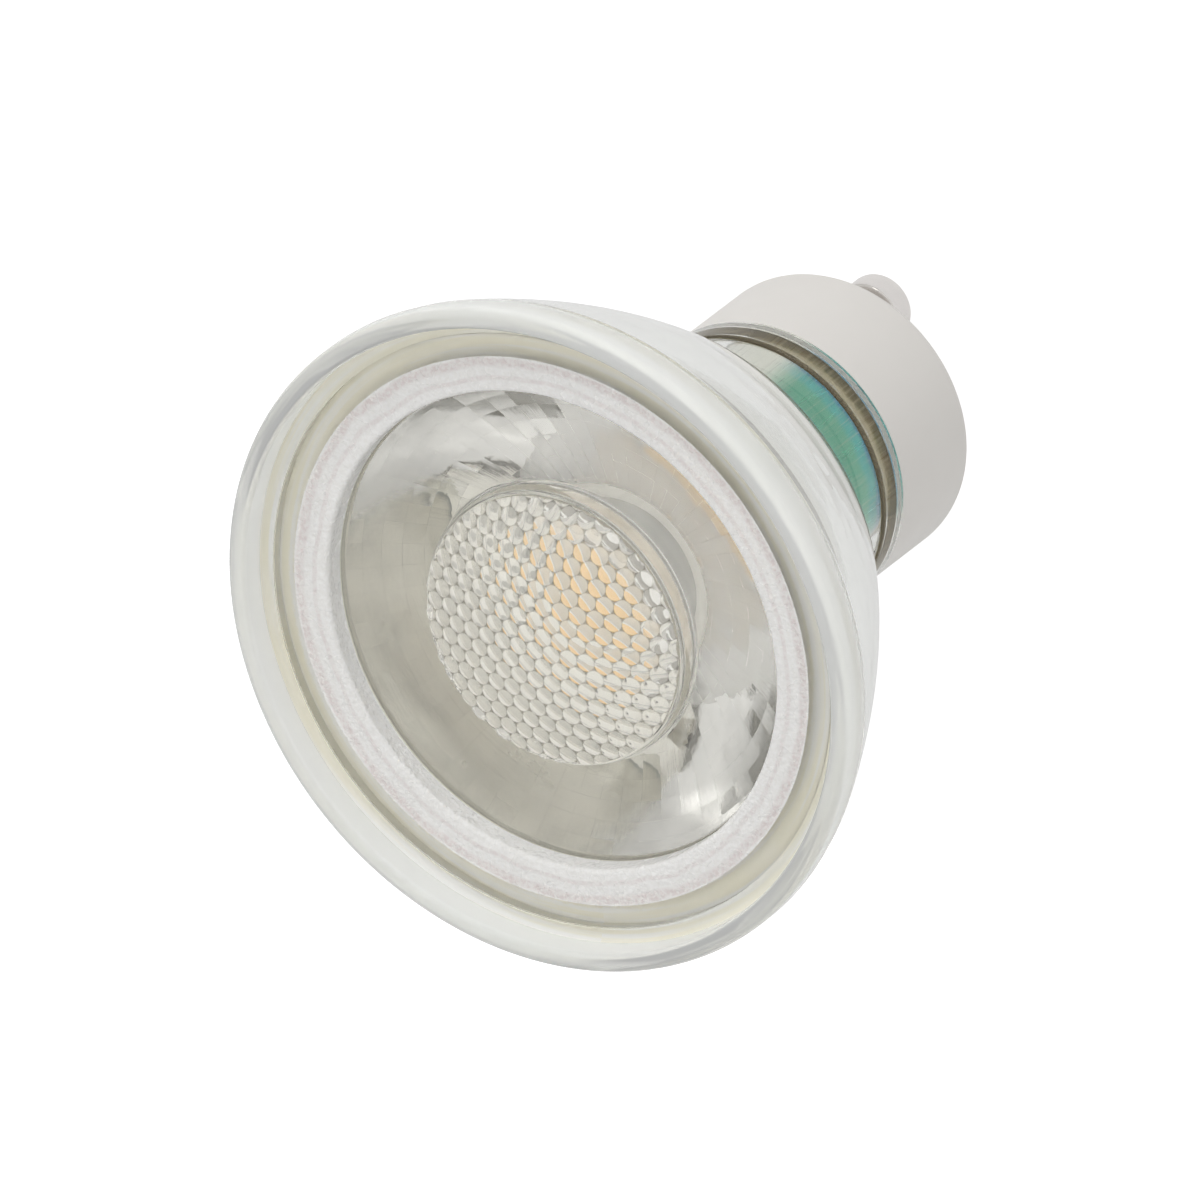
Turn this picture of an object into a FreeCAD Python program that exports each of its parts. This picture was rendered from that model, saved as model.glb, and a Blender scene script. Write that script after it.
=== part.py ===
import FreeCAD, Part
import math
import os

# GU10 spotlight bulb: a pressed glass bowl on a white plastic base with two mushroom pins.
# Behind the moulded lens sit a light source on a spun metal liner and a driver in the neck.
# Millimetres. +Z points out through the face and z = 0 is the end face of the base.
# The two pins stand on the X axis.

# Base cap
base_diameter = 21.5
base_height = 9.7
base_wall = 1.1
base_floor = 1.8
base_edge_round = 1.0
base_mouth_round = 0.25
base_rib_count = 4
base_rib_width = 1.2
base_rib_height = 2.6
base_rib_length = 2.2

# Contact pins
pin_pitch = 10.0
pin_reach = 7.7
pin_head_diameter = 5.0
pin_head_height = 2.4
pin_head_round = 0.7
pin_under_round = 0.3
pin_stem_diameter = 3.1
pin_shank_diameter = 2.4
pin_rivet_diameter = 3.9
pin_rivet_height = 0.4
pin_bore_diameter = 1.2
pin_bore_depth = 3.6

# Glass envelope
rim_diameter = 50.0
rim_height = 42.0
rim_band = 0.9
rim_round = 0.7
rim_tuck = 0.3
rim_tuck_drop = 1.2
lip_width = 1.5
lip_round = 0.4
ledge_drop = 3.7
glass_wall = 2.4
neck_wall = 2.0
side_radius = 80.0
shoulder_radius = 15.0
shoulder_diameter = 39.12
neck_length = 7.58
neck_diameter = 21.0
neck_fillet_outside = 2.0
neck_fillet_inside = 3.5
collar_diameter = 21.6
collar_height = 2.6
spigot_rib_gap = 0.3
cement_gap = 0.25
cement_drop = 0.25
cement_rise = 0.55

# Spun metal liner that carries the light source
liner_gap = 0.15
liner_sheet = 0.8
liner_floor_margin = 1.0
liner_top_drop = 2.1

# Light source
pad_thickness = 0.3
board_margin = 2.0
board_thickness = 1.0
dam_diameter = 11.4
dam_width = 0.7
dam_height = 0.5
phosphor_height = 0.35
phosphor_crown = 0.12
screw_foot_gap = 0.4
screw_diameter = 2.0
screw_head_diameter = 3.2
screw_head_height = 1.2
screw_slot_width = 0.5
screw_slot_depth = 0.5
screw_end_length = 1.1
screw_hole_clearance = 0.05

# Lens
seal_width = 1.1
seal_drop = 0.35
flange_thickness = 1.6
flange_width = 4.4
trough_depth = 2.0
trough_round = 0.35
boss_diameter = 20.8
boss_height = 1.5
boss_round = 0.3
cone_land = 1.6
cone_bulge = 1.2
foot_wall = 1.5
foot_height = 1.6
pocket_gap = 0.2
pocket_depth = 5.2
pocket_draft = 0.5
pocket_lens_sag = 1.3

# Honeycomb of small lenses on the crown of the boss
dome_radius = 35.5
cell_pitch = 1.34
cell_rise = 0.16
cell_step_height = 0.06
cell_top_share = 0.56
cell_turn = 20.0
cell_root = 0.5

# Sleeve and insulator round the driver
sleeve_gap = 0.2
sleeve_wall = 0.3
sleeve_over_board = 0.2
insulator_gap = 0.1
insulator_wall = 0.4
rail_depth = 0.7
rail_width = 0.6
rail_gap = 0.05

# Driver board and its parts
driver_board_thickness = 1.0
driver_board_lift = 0.3
driver_board_over_can = 0.1
driver_board_side_gap = 0.1
part_gap = 0.05
can_diameter = 7.0
can_height = 8.6
can_gap = 0.4
can_groove_drop = 1.5
can_groove_depth = 0.3
can_edge_round = 0.5
film_size = (7.0, 4.2, 5.2)
film_lift = 0.5
film_round = 0.5
choke_diameter = 5.2
choke_height = 5.6
choke_flange_thickness = 0.9
choke_neck_diameter = 2.6
choke_winding_diameter = 4.4
choke_gap = 1.2
choke_offset = -2.2
bridge_size = (4.7, 2.3, 3.6)
bridge_lift = 0.2
chip_size = (4.9, 1.5, 3.9)
chip_offset = 4.1
chip_gap = 2.2
diode_size = (2.6, 2.1, 4.2)
diode_offset = 4.9
diode_gap = 0.4
resistor_diameter = 2.4
resistor_height = 5.8
resistor_offset = -4.9
resistor_gap = 0.2
resistor_end_share = 0.22
resistor_waist_depth = 0.2
chip_part_size = (1.6, 0.5, 0.8)
chip_part_low_places = ((3.45, 0.9), (-3.45, 0.9))
chip_part_high_places = ((4.1, 2.4), (4.1, 1.0), (-4.1, 1.6))
chip_part_back_places = ((5.2, 1.5), (5.2, 3.3), (5.2, 5.1), (-5.2, 3.9))

# Leads
lead_diameter = 0.8
lead_hole_clearance = 0.15
lead_bend_radius = 1.0
lead_seat_depth = 2.6
input_lead_lap = 2.7
output_lead_gap = 0.2
output_lead_offset = 5.4
output_lead_turn_drop = 1.7
output_lead_slope_height = 1.9
output_lead_stand = 0.8
solder_diameter = 2.0
solder_height = 0.6

# Sizes worked out from the ones above
base_radius = base_diameter / 2
base_bore = base_radius - base_wall
rim_radius = rim_diameter / 2
lip_radius = rim_radius - lip_width
ledge_height = rim_height - ledge_drop
neck_radius = neck_diameter / 2
neck_bore = neck_radius - neck_wall
collar_radius = collar_diameter / 2
collar_step = collar_radius - neck_radius
collar_top = base_height + collar_height
rib_top = base_floor + base_rib_height
spigot_radius = base_bore - cement_gap
spigot_end = rib_top + spigot_rib_gap
shoulder_centre = (shoulder_diameter / 2 - shoulder_radius, base_height + neck_length + shoulder_radius)
sleeve_radius = neck_bore - sleeve_gap
sleeve_bore = sleeve_radius - sleeve_wall
insulator_radius = sleeve_bore - insulator_gap
insulator_bore = insulator_radius - insulator_wall
pocket_radius = dam_diameter / 2 + pocket_gap
foot_radius = pocket_radius + foot_wall
screw_offset = foot_radius + screw_foot_gap + screw_head_diameter / 2
board_radius = screw_offset + board_margin
liner_inset = glass_wall + liner_gap
liner_floor_radius = board_radius + liner_floor_margin
liner_floor_height = shoulder_centre[1] - math.sqrt(
    (shoulder_radius - liner_inset) ** 2 - (liner_floor_radius - shoulder_centre[0]) ** 2)
liner_floor_top = liner_floor_height + liner_sheet
liner_top_height = ledge_height - liner_top_drop
pad_top = liner_floor_top + pad_thickness
board_top = pad_top + board_thickness
lens_radius = lip_radius - seal_width
flange_top = ledge_height + flange_thickness
trough_radius = lens_radius - flange_width
trough_floor = flange_top - trough_depth
boss_radius = boss_diameter / 2
boss_top = trough_floor + boss_height
foot_top = board_top + foot_height
lead_radius = lead_diameter / 2
lead_hole_radius = lead_radius + lead_hole_clearance
board_front = lead_radius + part_gap
board_back = board_front + driver_board_thickness

# Heights of what stands on the driver board, stacked from its foot
driver_board_bottom = rib_top + driver_board_lift
bridge_bottom = driver_board_bottom + bridge_lift
can_bottom = bridge_bottom + bridge_size[2] + can_gap
driver_board_top = can_bottom + can_height + driver_board_over_can
sleeve_top_height = driver_board_top + sleeve_over_board
film_bottom = driver_board_bottom + film_lift
film_top = film_bottom + film_size[2]
choke_bottom = film_top + choke_gap
chip_bottom = film_top + chip_gap
input_lead_top = driver_board_bottom + input_lead_lap
resistor_bottom = input_lead_top + resistor_gap
output_lead_bottom = resistor_bottom + resistor_height + output_lead_gap
diode_bottom = output_lead_bottom - diode_gap - diode_size[2]
output_lead_turn = liner_floor_height - output_lead_turn_drop
output_lead_rise = output_lead_turn - output_lead_slope_height

CENTRE = FreeCAD.Vector(0, 0, 0)
UP = FreeCAD.Vector(0, 0, 1)


def at(point):
    """Place an outline point (radius, height) in the XZ plane."""
    return FreeCAD.Vector(point[0], 0, point[1])


def wire_of(start, *steps):
    """Join points by lines; a step that is a (middle, end) pair of points is an arc."""
    edges = []
    here = start
    for step in steps:
        if isinstance(step[0], tuple):
            middle, there = step
            edges.append(Part.Arc(at(here), at(middle), at(there)).toShape())
        else:
            there = step
            edges.append(Part.LineSegment(at(here), at(there)).toShape())
        here = there
    if here != start:
        edges.append(Part.LineSegment(at(here), at(start)).toShape())
    return Part.Wire(edges)


def spin(start, *steps):
    """Revolve a closed half outline about the axis of the bulb."""
    return Part.Face(wire_of(start, *steps)).revolve(CENTRE, UP, 360)


def swing(centre, start, end):
    """Give the arc step from start to end about a centre."""
    radius = math.dist(centre, start)
    lean = (start[0] + end[0] - 2 * centre[0], start[1] + end[1] - 2 * centre[1])
    scale = radius / math.hypot(*lean)
    return (centre[0] + lean[0] * scale, centre[1] + lean[1] * scale), end


def crown_centre(edge, tip):
    """Find the centre, on the axis, of the arc from an edge point to a tip on the axis."""
    rise = tip[1] - edge[1]
    return 0, tip[1] - (edge[0] ** 2 + rise ** 2) / (2 * rise)


def bend(before, corner, after, radius):
    """Give the two steps that round a square or slanted corner of an outline."""
    back = unit(corner, before)
    on = unit(corner, after)
    half = math.acos(back[0] * on[0] + back[1] * on[1]) / 2
    run = radius / math.tan(half)
    bisector = unit((0, 0), (back[0] + on[0], back[1] + on[1]))
    depth = radius / math.sin(half)
    start = (corner[0] + back[0] * run, corner[1] + back[1] * run)
    end = (corner[0] + on[0] * run, corner[1] + on[1] * run)
    centre = (corner[0] + bisector[0] * depth, corner[1] + bisector[1] * depth)
    return start, swing(centre, start, end)


def unit(start, end):
    """Give the unit vector from one outline point to another."""
    length = math.dist(start, end)
    return (end[0] - start[0]) / length, (end[1] - start[1]) / length


def disc(radius, bottom, top):
    """Make a round plate on the axis."""
    return Part.makeCylinder(radius, top - bottom, FreeCAD.Vector(0, 0, bottom))


def post(radius, bottom, top, x=0.0, y=0.0):
    """Make a round bar parallel to the axis."""
    return Part.makeCylinder(radius, top - bottom, FreeCAD.Vector(x, y, bottom))


def block(size, x, y, bottom):
    """Make a box centred on x that starts at y and at the given height."""
    return Part.makeBox(size[0], size[1], size[2], FreeCAD.Vector(x - size[0] / 2, y, bottom))


def side_top():
    """Give the outline point below the rim where the bowl's side starts."""
    return rim_radius - rim_tuck, rim_height - rim_round - rim_band - rim_tuck_drop


def side_centre():
    """Find the centre of the long side arc that runs from below the rim into the shoulder arc."""
    span = math.dist(shoulder_centre, side_top())
    on = unit(shoulder_centre, side_top())
    inner = side_radius - shoulder_radius
    along = (inner ** 2 - side_radius ** 2 + span ** 2) / (2 * span)
    across = math.sqrt(inner ** 2 - along ** 2)
    return (shoulder_centre[0] + on[0] * along - on[1] * across,
            shoulder_centre[1] + on[1] * along + on[0] * across)


def bowl_knee(inset):
    """Give the point where the side arc meets the shoulder arc, this far inside the glass."""
    outward = unit(side_centre(), shoulder_centre)
    distance = shoulder_radius - inset
    return shoulder_centre[0] + outward[0] * distance, shoulder_centre[1] + outward[1] * distance


def reach(centre, radius, height):
    """Give the outline point of a bowl arc at a height."""
    return centre[0] + math.sqrt(radius ** 2 - (height - centre[1]) ** 2), height


def neck_fillet(inset, tube_radius, fillet):
    """Find the concave arc between the shoulder and the straight neck."""
    arc_radius = shoulder_radius - inset
    across = tube_radius + fillet - shoulder_centre[0]
    drop = math.sqrt((arc_radius + fillet) ** 2 - across ** 2)
    centre = (tube_radius + fillet, shoulder_centre[1] - drop)
    toward = unit(shoulder_centre, centre)
    joint = (shoulder_centre[0] + toward[0] * arc_radius, shoulder_centre[1] + toward[1] * arc_radius)
    return joint, centre, (tube_radius, centre[1])


def glass_envelope():
    """Pressed glass: rim with a ledge for the lens, bowl, neck, collar and a spigot for the base."""
    side = side_centre()
    knee = bowl_knee(0)
    joint, fillet_centre, neck_top = neck_fillet(0, neck_radius, neck_fillet_outside)
    inner_knee = bowl_knee(glass_wall)
    inner_top = reach(side, side_radius - glass_wall, ledge_height)
    inner_joint, inner_centre, bore_top = neck_fillet(glass_wall, neck_bore, neck_fillet_inside)
    band_bottom = (rim_radius, rim_height - rim_round - rim_band)
    rim_corner = (rim_radius, rim_height)
    lip_corner = (lip_radius, rim_height)
    ledge_corner = (lip_radius, ledge_height)
    return spin(
        (neck_bore, spigot_end),
        (spigot_radius, spigot_end),
        (spigot_radius, base_height),
        (collar_radius, base_height),
        (collar_radius, collar_top - collar_step),
        swing((neck_radius, collar_top - collar_step), (collar_radius, collar_top - collar_step),
              (neck_radius, collar_top)),
        neck_top,
        swing(fillet_centre, neck_top, joint),
        swing(shoulder_centre, joint, knee),
        swing(side, knee, side_top()),
        band_bottom,
        *bend(band_bottom, rim_corner, lip_corner, rim_round),
        *bend(rim_corner, lip_corner, ledge_corner, lip_round),
        ledge_corner,
        inner_top,
        swing(side, inner_top, inner_knee),
        swing(shoulder_centre, inner_knee, inner_joint),
        swing(inner_centre, inner_joint, bore_top),
    )


def liner_cup():
    """Spun metal cup that lines the bowl, with a flat floor and holes for screws and leads."""
    side = side_centre()
    inside = liner_inset + liner_sheet
    floor_edge = (liner_floor_radius, liner_floor_height)
    floor_corner = reach(shoulder_centre, shoulder_radius - inside, liner_floor_top)
    top_outside = reach(side, side_radius - liner_inset, liner_top_height)
    top_inside = reach(side, side_radius - inside, liner_top_height)
    cup = spin(
        (0, liner_floor_height),
        floor_edge,
        swing(shoulder_centre, floor_edge, bowl_knee(liner_inset)),
        swing(side, bowl_knee(liner_inset), top_outside),
        top_inside,
        swing(side, top_inside, bowl_knee(inside)),
        swing(shoulder_centre, bowl_knee(inside), floor_corner),
        (0, liner_floor_top),
    )
    return cup.cut(floor_holes(liner_floor_height, liner_floor_top))


def floor_holes(bottom, top):
    """Make the cutters for the two screws and the two leads that pass the floor."""
    cutters = []
    for sign in (-1, 1):
        screw_y = sign * screw_offset
        lead_x = sign * screw_offset
        cutters.append(post(screw_diameter / 2 + screw_hole_clearance, bottom, top, y=screw_y))
        cutters.append(post(lead_hole_radius, bottom, top, x=lead_x))
    return Part.makeCompound(cutters)


def thermal_pad():
    """Soft heat-conducting disc between the liner and the board of the light source."""
    return disc(board_radius, liner_floor_top, pad_top).cut(floor_holes(liner_floor_top, pad_top))


def led_board():
    """Round metal-core board that carries the light source."""
    return disc(board_radius, pad_top, board_top).cut(floor_holes(pad_top, board_top))


def led_dam():
    """Raised silicone ring round the phosphor."""
    outer = dam_diameter / 2
    inner = outer - dam_width
    middle = (outer + inner) / 2
    return spin((inner, board_top), (outer, board_top),
                ((middle, board_top + dam_height), (inner, board_top + phosphor_height)))


def led_phosphor():
    """Yellow phosphor disc, slightly crowned, inside the dam."""
    radius = dam_diameter / 2 - dam_width
    edge = (radius, board_top + phosphor_height)
    tip = (0, edge[1] + phosphor_crown)
    return spin((0, board_top), (radius, board_top), edge, swing(crown_centre(edge, tip), edge, tip))


def board_screws():
    """Two pan-head screws through the board, the pad and the floor of the liner."""
    screws = []
    for sign in (-1, 1):
        y = sign * screw_offset
        shank = post(screw_diameter / 2, liner_floor_height - screw_end_length, board_top, y=y)
        head = post(screw_head_diameter / 2, board_top, board_top + screw_head_height, y=y)
        head = head.makeFillet(screw_head_height / 3, [top_edge(head)])
        slot = Part.makeBox(screw_head_diameter, screw_slot_width, screw_slot_depth)
        slot.translate(FreeCAD.Vector(-screw_head_diameter / 2, y - screw_slot_width / 2,
                                      board_top + screw_head_height - screw_slot_depth))
        screws.append(shank.fuse(head).cut(slot).removeSplitter())
    return Part.makeCompound(screws)


def top_edge(shape):
    """Give the highest closed edge of a shape."""
    return max((edge for edge in shape.Edges if edge.isClosed()), key=lambda edge: edge.CenterOfMass.z)


def lens_body():
    """Moulded lens without its honeycomb: flange, trough, boss, reflecting cone, foot and pocket."""
    cone_top = (trough_radius + cone_land, ledge_height)
    cone_bottom = (foot_radius, foot_top)
    along = unit(cone_bottom, cone_top)
    cone_middle = ((cone_top[0] + cone_bottom[0]) / 2 + along[1] * cone_bulge,
                   (cone_top[1] + cone_bottom[1]) / 2 - along[0] * cone_bulge)
    pocket_top = (pocket_radius - pocket_draft, board_top + pocket_depth)
    pocket_tip = (0, pocket_top[1] - pocket_lens_sag)
    flange_edge = (lens_radius, flange_top)
    trough_edge = (trough_radius, flange_top)
    trough_corner = (trough_radius, trough_floor)
    boss_corner = (boss_radius, trough_floor)
    boss_edge = (boss_radius, boss_top)
    return spin(
        pocket_tip,
        swing(crown_centre(pocket_top, pocket_tip), pocket_tip, pocket_top),
        (pocket_radius, board_top),
        (foot_radius, board_top),
        cone_bottom,
        (cone_middle, cone_top),
        (lens_radius, ledge_height),
        flange_edge,
        *bend(flange_edge, trough_edge, trough_corner, trough_round),
        *bend(trough_edge, trough_corner, boss_corner, trough_round),
        *bend(trough_corner, boss_corner, boss_edge, trough_round),
        *bend(boss_corner, boss_edge, (0, boss_top), boss_round),
        (0, boss_top),
    )


def dome_height(x, y):
    """Give the height of the crown that the small lenses stand on."""
    centre = boss_top - math.sqrt(dome_radius ** 2 - boss_radius ** 2)
    return centre + math.sqrt(dome_radius ** 2 - x ** 2 - y ** 2)


def honeycomb_cells():
    """List the centres of the hexagonal cells that reach over the crown."""
    limit = boss_radius - boss_round + cell_pitch / math.sqrt(3)
    span = math.ceil(boss_diameter / cell_pitch)
    cells = []
    for row in range(-span, span + 1):
        for column in range(-span, span + 1):
            along = (column + row / 2) * cell_pitch
            across = row * cell_pitch * math.sqrt(3) / 2
            if math.hypot(along, across) <= limit:
                cells.append(turned(along, across, cell_turn))
    return cells


def turned(x, y, degrees):
    """Turn a point about the axis."""
    angle = math.radians(degrees)
    return x * math.cos(angle) - y * math.sin(angle), x * math.sin(angle) + y * math.cos(angle)


def cell_corners(centre):
    """Give the six plan corners of a cell."""
    corner_reach = cell_pitch / math.sqrt(3)
    corners = []
    for number in range(6):
        x, y = turned(corner_reach, 0, cell_turn + 60 * (number + 0.5))
        corners.append((round(centre[0] + x, 6), round(centre[1] + y, 6)))
    return corners


def facet(*points):
    """Make one flat face."""
    return Part.Face(Part.makePolygon(list(points) + [points[0]]))


def honeycomb():
    """Block of small faceted lenses, trimmed round at the boss's edge, with its foot inside the boss."""
    faces = []
    sides = {}
    root = boss_top - cell_root
    for centre in honeycomb_cells():
        corners = cell_corners(centre)
        crest = dome_height(*centre)
        slope_x = centre[0] / math.sqrt(dome_radius ** 2 - centre[0] ** 2 - centre[1] ** 2)
        slope_y = centre[1] / math.sqrt(dome_radius ** 2 - centre[0] ** 2 - centre[1] ** 2)
        low = []
        high = []
        for x, y in corners:
            low.append(FreeCAD.Vector(x, y, dome_height(x, y) + cell_step_height))
            dx = (x - centre[0]) * cell_top_share
            dy = (y - centre[1]) * cell_top_share
            high.append(FreeCAD.Vector(centre[0] + dx, centre[1] + dy,
                                       crest + cell_rise - slope_x * dx - slope_y * dy))
        faces.append(facet(*high))
        for number in range(6):
            after = (number + 1) % 6
            faces.append(facet(low[number], low[after], high[number]))
            faces.append(facet(low[after], high[after], high[number]))
            key = frozenset((corners[number], corners[after]))
            sides[key] = None if key in sides else (low[number], low[after])
    faces.extend(honeycomb_skirt(sides, root))
    shell = Part.Shell(faces)
    shell.sewShape()
    return Part.Solid(shell).common(disc(boss_radius - boss_round, root - cell_root, dome_height(0, 0) + 2 * cell_rise))


def honeycomb_skirt(sides, root):
    """Close the block with upright walls round its outer cells and a flat bottom."""
    walls = []
    follows = {}
    for side in sides.values():
        if side:
            start, end = side
            foot_start = FreeCAD.Vector(start.x, start.y, root)
            foot_end = FreeCAD.Vector(end.x, end.y, root)
            walls.append(facet(start, foot_start, foot_end, end))
            follows[(start.x, start.y)] = foot_end
    first = next(iter(follows.values()))
    ring = [first]
    while (ring[-1].x, ring[-1].y) in follows and len(ring) < len(follows):
        ring.append(follows[(ring[-1].x, ring[-1].y)])
    walls.append(facet(*ring))
    return walls


def lens():
    """Clear moulded lens with its honeycomb of small lenses."""
    return lens_body().fuse(honeycomb())


def lens_seal():
    """Silicone ring between the edge of the lens and the glass lip."""
    top = flange_top - seal_drop
    middle = (lens_radius + lip_radius) / 2
    return spin((lens_radius, ledge_height), (lip_radius, ledge_height), (lip_radius, flange_top),
                ((middle, top), (lens_radius, flange_top - seal_drop / 2)))


def base_cap():
    """White plastic cap with a floor for the pins and ribs that carry the driver's sleeve."""
    outer_corner = (base_radius, 0)
    mouth_corner = (base_radius, base_height)
    bore_corner = (base_bore, base_height)
    cap = spin(
        (0, 0),
        *bend((0, 0), outer_corner, mouth_corner, base_edge_round),
        *bend(outer_corner, mouth_corner, bore_corner, base_mouth_round),
        bore_corner,
        (base_bore, base_floor),
        (0, base_floor),
    )
    ribs = []
    for number in range(base_rib_count):
        rib = Part.makeBox(base_rib_length + base_wall / 2, base_rib_width, base_rib_height + base_floor / 2)
        rib.translate(FreeCAD.Vector(base_bore - base_rib_length, -base_rib_width / 2, base_floor / 2))
        rib.rotate(CENTRE, UP, (number + 0.5) * 360 / base_rib_count)
        ribs.append(rib)
    cap = cap.fuse(ribs).removeSplitter()
    for x in pin_places():
        cap = cap.cut(post(pin_shank_diameter / 2, 0, base_floor, x=x))
    return cap


def pin_places():
    """Give the two pin positions along X."""
    return -pin_pitch / 2, pin_pitch / 2


def contact_pin(x):
    """Turned pin: mushroom head, stem, shank through the floor, riveted end and a bore for the lead."""
    head = pin_head_diameter / 2
    stem = pin_stem_diameter / 2
    shank = pin_shank_diameter / 2
    rivet = pin_rivet_diameter / 2
    bore = pin_bore_diameter / 2
    tip = -pin_reach
    shelf = tip + pin_head_height
    rivet_top = base_floor + pin_rivet_height
    bore_end = rivet_top - pin_bore_depth
    pin = spin(
        (0, tip),
        *bend((0, tip), (head, tip), (head, shelf), pin_head_round),
        *bend((head, tip), (head, shelf), (stem, shelf), pin_under_round),
        *bend((head, shelf), (stem, shelf), (stem, 0), pin_under_round),
        (stem, 0),
        (shank, 0),
        (shank, base_floor),
        (rivet, base_floor),
        (rivet, rivet_top),
        (bore, rivet_top),
        (bore, bore_end),
        (0, bore_end),
    )
    pin.translate(FreeCAD.Vector(x, 0, 0))
    return pin


def neck_cement():
    """Ring of cement that holds the glass spigot in the base cap."""
    bottom = spigot_end + cement_rise
    top = base_height - cement_drop
    return disc(base_bore, bottom, top).cut(disc(spigot_radius, bottom, top))


def driver_sleeve():
    """Drawn metal sleeve that stands on the base ribs inside the glass neck."""
    return disc(sleeve_radius, rib_top, sleeve_top_height).cut(disc(sleeve_bore, rib_top, sleeve_top_height))


def driver_insulator():
    """Plastic tube inside the sleeve, with two pairs of rails that hold the driver board."""
    tube = disc(insulator_radius, rib_top, sleeve_top_height)
    bore = disc(insulator_bore, rib_top, sleeve_top_height)
    height = sleeve_top_height - rib_top
    rails = []
    for sign in (-1, 1):
        for y in (board_front - rail_gap - rail_width, board_back + rail_gap):
            rail = Part.makeBox(rail_depth + insulator_wall, rail_width, height)
            start = insulator_bore - rail_depth if sign > 0 else -insulator_bore - insulator_wall
            rail.translate(FreeCAD.Vector(start, y, rib_top))
            rails.append(rail)
    ring = tube.cut(bore)
    return ring.fuse([rail.common(tube) for rail in rails]).removeSplitter()


def driver_board():
    """Circuit board that stands in the neck between the rails."""
    half = math.sqrt(insulator_bore ** 2 - board_back ** 2) - driver_board_side_gap
    return block((2 * half, driver_board_thickness, driver_board_top - driver_board_bottom),
                 0, board_front, driver_board_bottom)


def electrolytic_capacitor():
    """Aluminium can with a crimp groove, upright in front of the board."""
    radius = can_diameter / 2
    top = can_bottom + can_height
    groove = can_bottom + can_groove_drop
    can = spin(
        (0, can_bottom),
        *bend((0, can_bottom), (radius, can_bottom), (radius, top), can_edge_round / 2),
        (radius, groove - can_groove_depth),
        ((radius - can_groove_depth, groove), (radius, groove + can_groove_depth)),
        *bend((radius, can_bottom), (radius, top), (0, top), can_edge_round),
        (0, top),
    )
    can.translate(FreeCAD.Vector(0, board_front - 2 * part_gap - radius, 0))
    return can


def film_capacitor():
    """Boxed film capacitor behind the board."""
    box = block(film_size, 0, board_back + part_gap, film_bottom)
    upright = [edge for edge in box.Edges if abs(edge.tangentAt(edge.FirstParameter).y) > 0.5]
    return box.makeFillet(film_round, upright)


def choke_place():
    """Give the plan position of the choke behind the board."""
    return FreeCAD.Vector(choke_offset, board_back + part_gap + choke_diameter / 2, 0)


def choke_core():
    """Ferrite drum with two flanges."""
    radius = choke_diameter / 2
    neck = choke_neck_diameter / 2
    top = choke_bottom + choke_height
    core = spin((0, choke_bottom), (radius, choke_bottom), (radius, choke_bottom + choke_flange_thickness),
                (neck, choke_bottom + choke_flange_thickness), (neck, top - choke_flange_thickness),
                (radius, top - choke_flange_thickness), (radius, top), (0, top))
    core.translate(choke_place())
    return core


def choke_winding():
    """Copper winding between the flanges of the drum."""
    bottom = choke_bottom + choke_flange_thickness
    top = choke_bottom + choke_height - choke_flange_thickness
    winding = disc(choke_winding_diameter / 2, bottom, top).cut(disc(choke_neck_diameter / 2, bottom, top))
    winding.translate(choke_place())
    return winding


def package(size, x, y, bottom, toward):
    """Moulded package with a chamfered outer face; toward is the way it stands off the board."""
    start = y if toward > 0 else y - size[1]
    body = block(size, x, start, bottom)
    face_y = start + size[1] if toward > 0 else start
    rim = [edge for edge in body.Edges if abs(edge.CenterOfMass.y - face_y) < part_gap / 10]
    return body.makeChamfer(min(size) / 8, rim)


def bridge_rectifier():
    """Bridge package on the front of the board."""
    return package(bridge_size, 0, board_front - part_gap, bridge_bottom, -1)


def driver_chip():
    """Control chip on the back of the board."""
    return package(chip_size, chip_offset, board_back + part_gap, chip_bottom, 1)


def output_diode():
    """Output diode on the front of the board."""
    return package(diode_size, diode_offset, board_front - part_gap, diode_bottom, -1)


def fusible_resistor():
    """Upright resistor with two wider end caps."""
    radius = resistor_diameter / 2
    waist = radius - resistor_waist_depth
    end = resistor_height * resistor_end_share
    low = resistor_bottom
    top = resistor_bottom + resistor_height
    body = spin(
        (0, low),
        *bend((0, low), (radius, low), (radius, top), waist / 3),
        (radius, low + end),
        (waist, low + end + resistor_waist_depth),
        (waist, top - end - resistor_waist_depth),
        (radius, top - end),
        *bend((radius, low), (radius, top), (0, top), waist / 3),
        (0, top),
    )
    body.translate(FreeCAD.Vector(resistor_offset, board_front - 2 * part_gap - radius, 0))
    return body


def chip_parts():
    """Small chip resistors and capacitors on both faces of the board."""
    parts = []
    front = board_front - part_gap - chip_part_size[1]
    for x, lift in chip_part_low_places:
        parts.append(block(chip_part_size, x, front, driver_board_bottom + lift))
    for x, drop in chip_part_high_places:
        parts.append(block(chip_part_size, x, front, driver_board_top - drop))
    for x, lift in chip_part_back_places:
        parts.append(block(chip_part_size, x, board_back + part_gap, driver_board_bottom + lift))
    return Part.makeCompound(parts)


def input_lead(x):
    """Straight wire from the bore of a pin to the foot of the board."""
    return post(lead_radius, base_floor - lead_seat_depth, input_lead_top, x=x)


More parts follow.
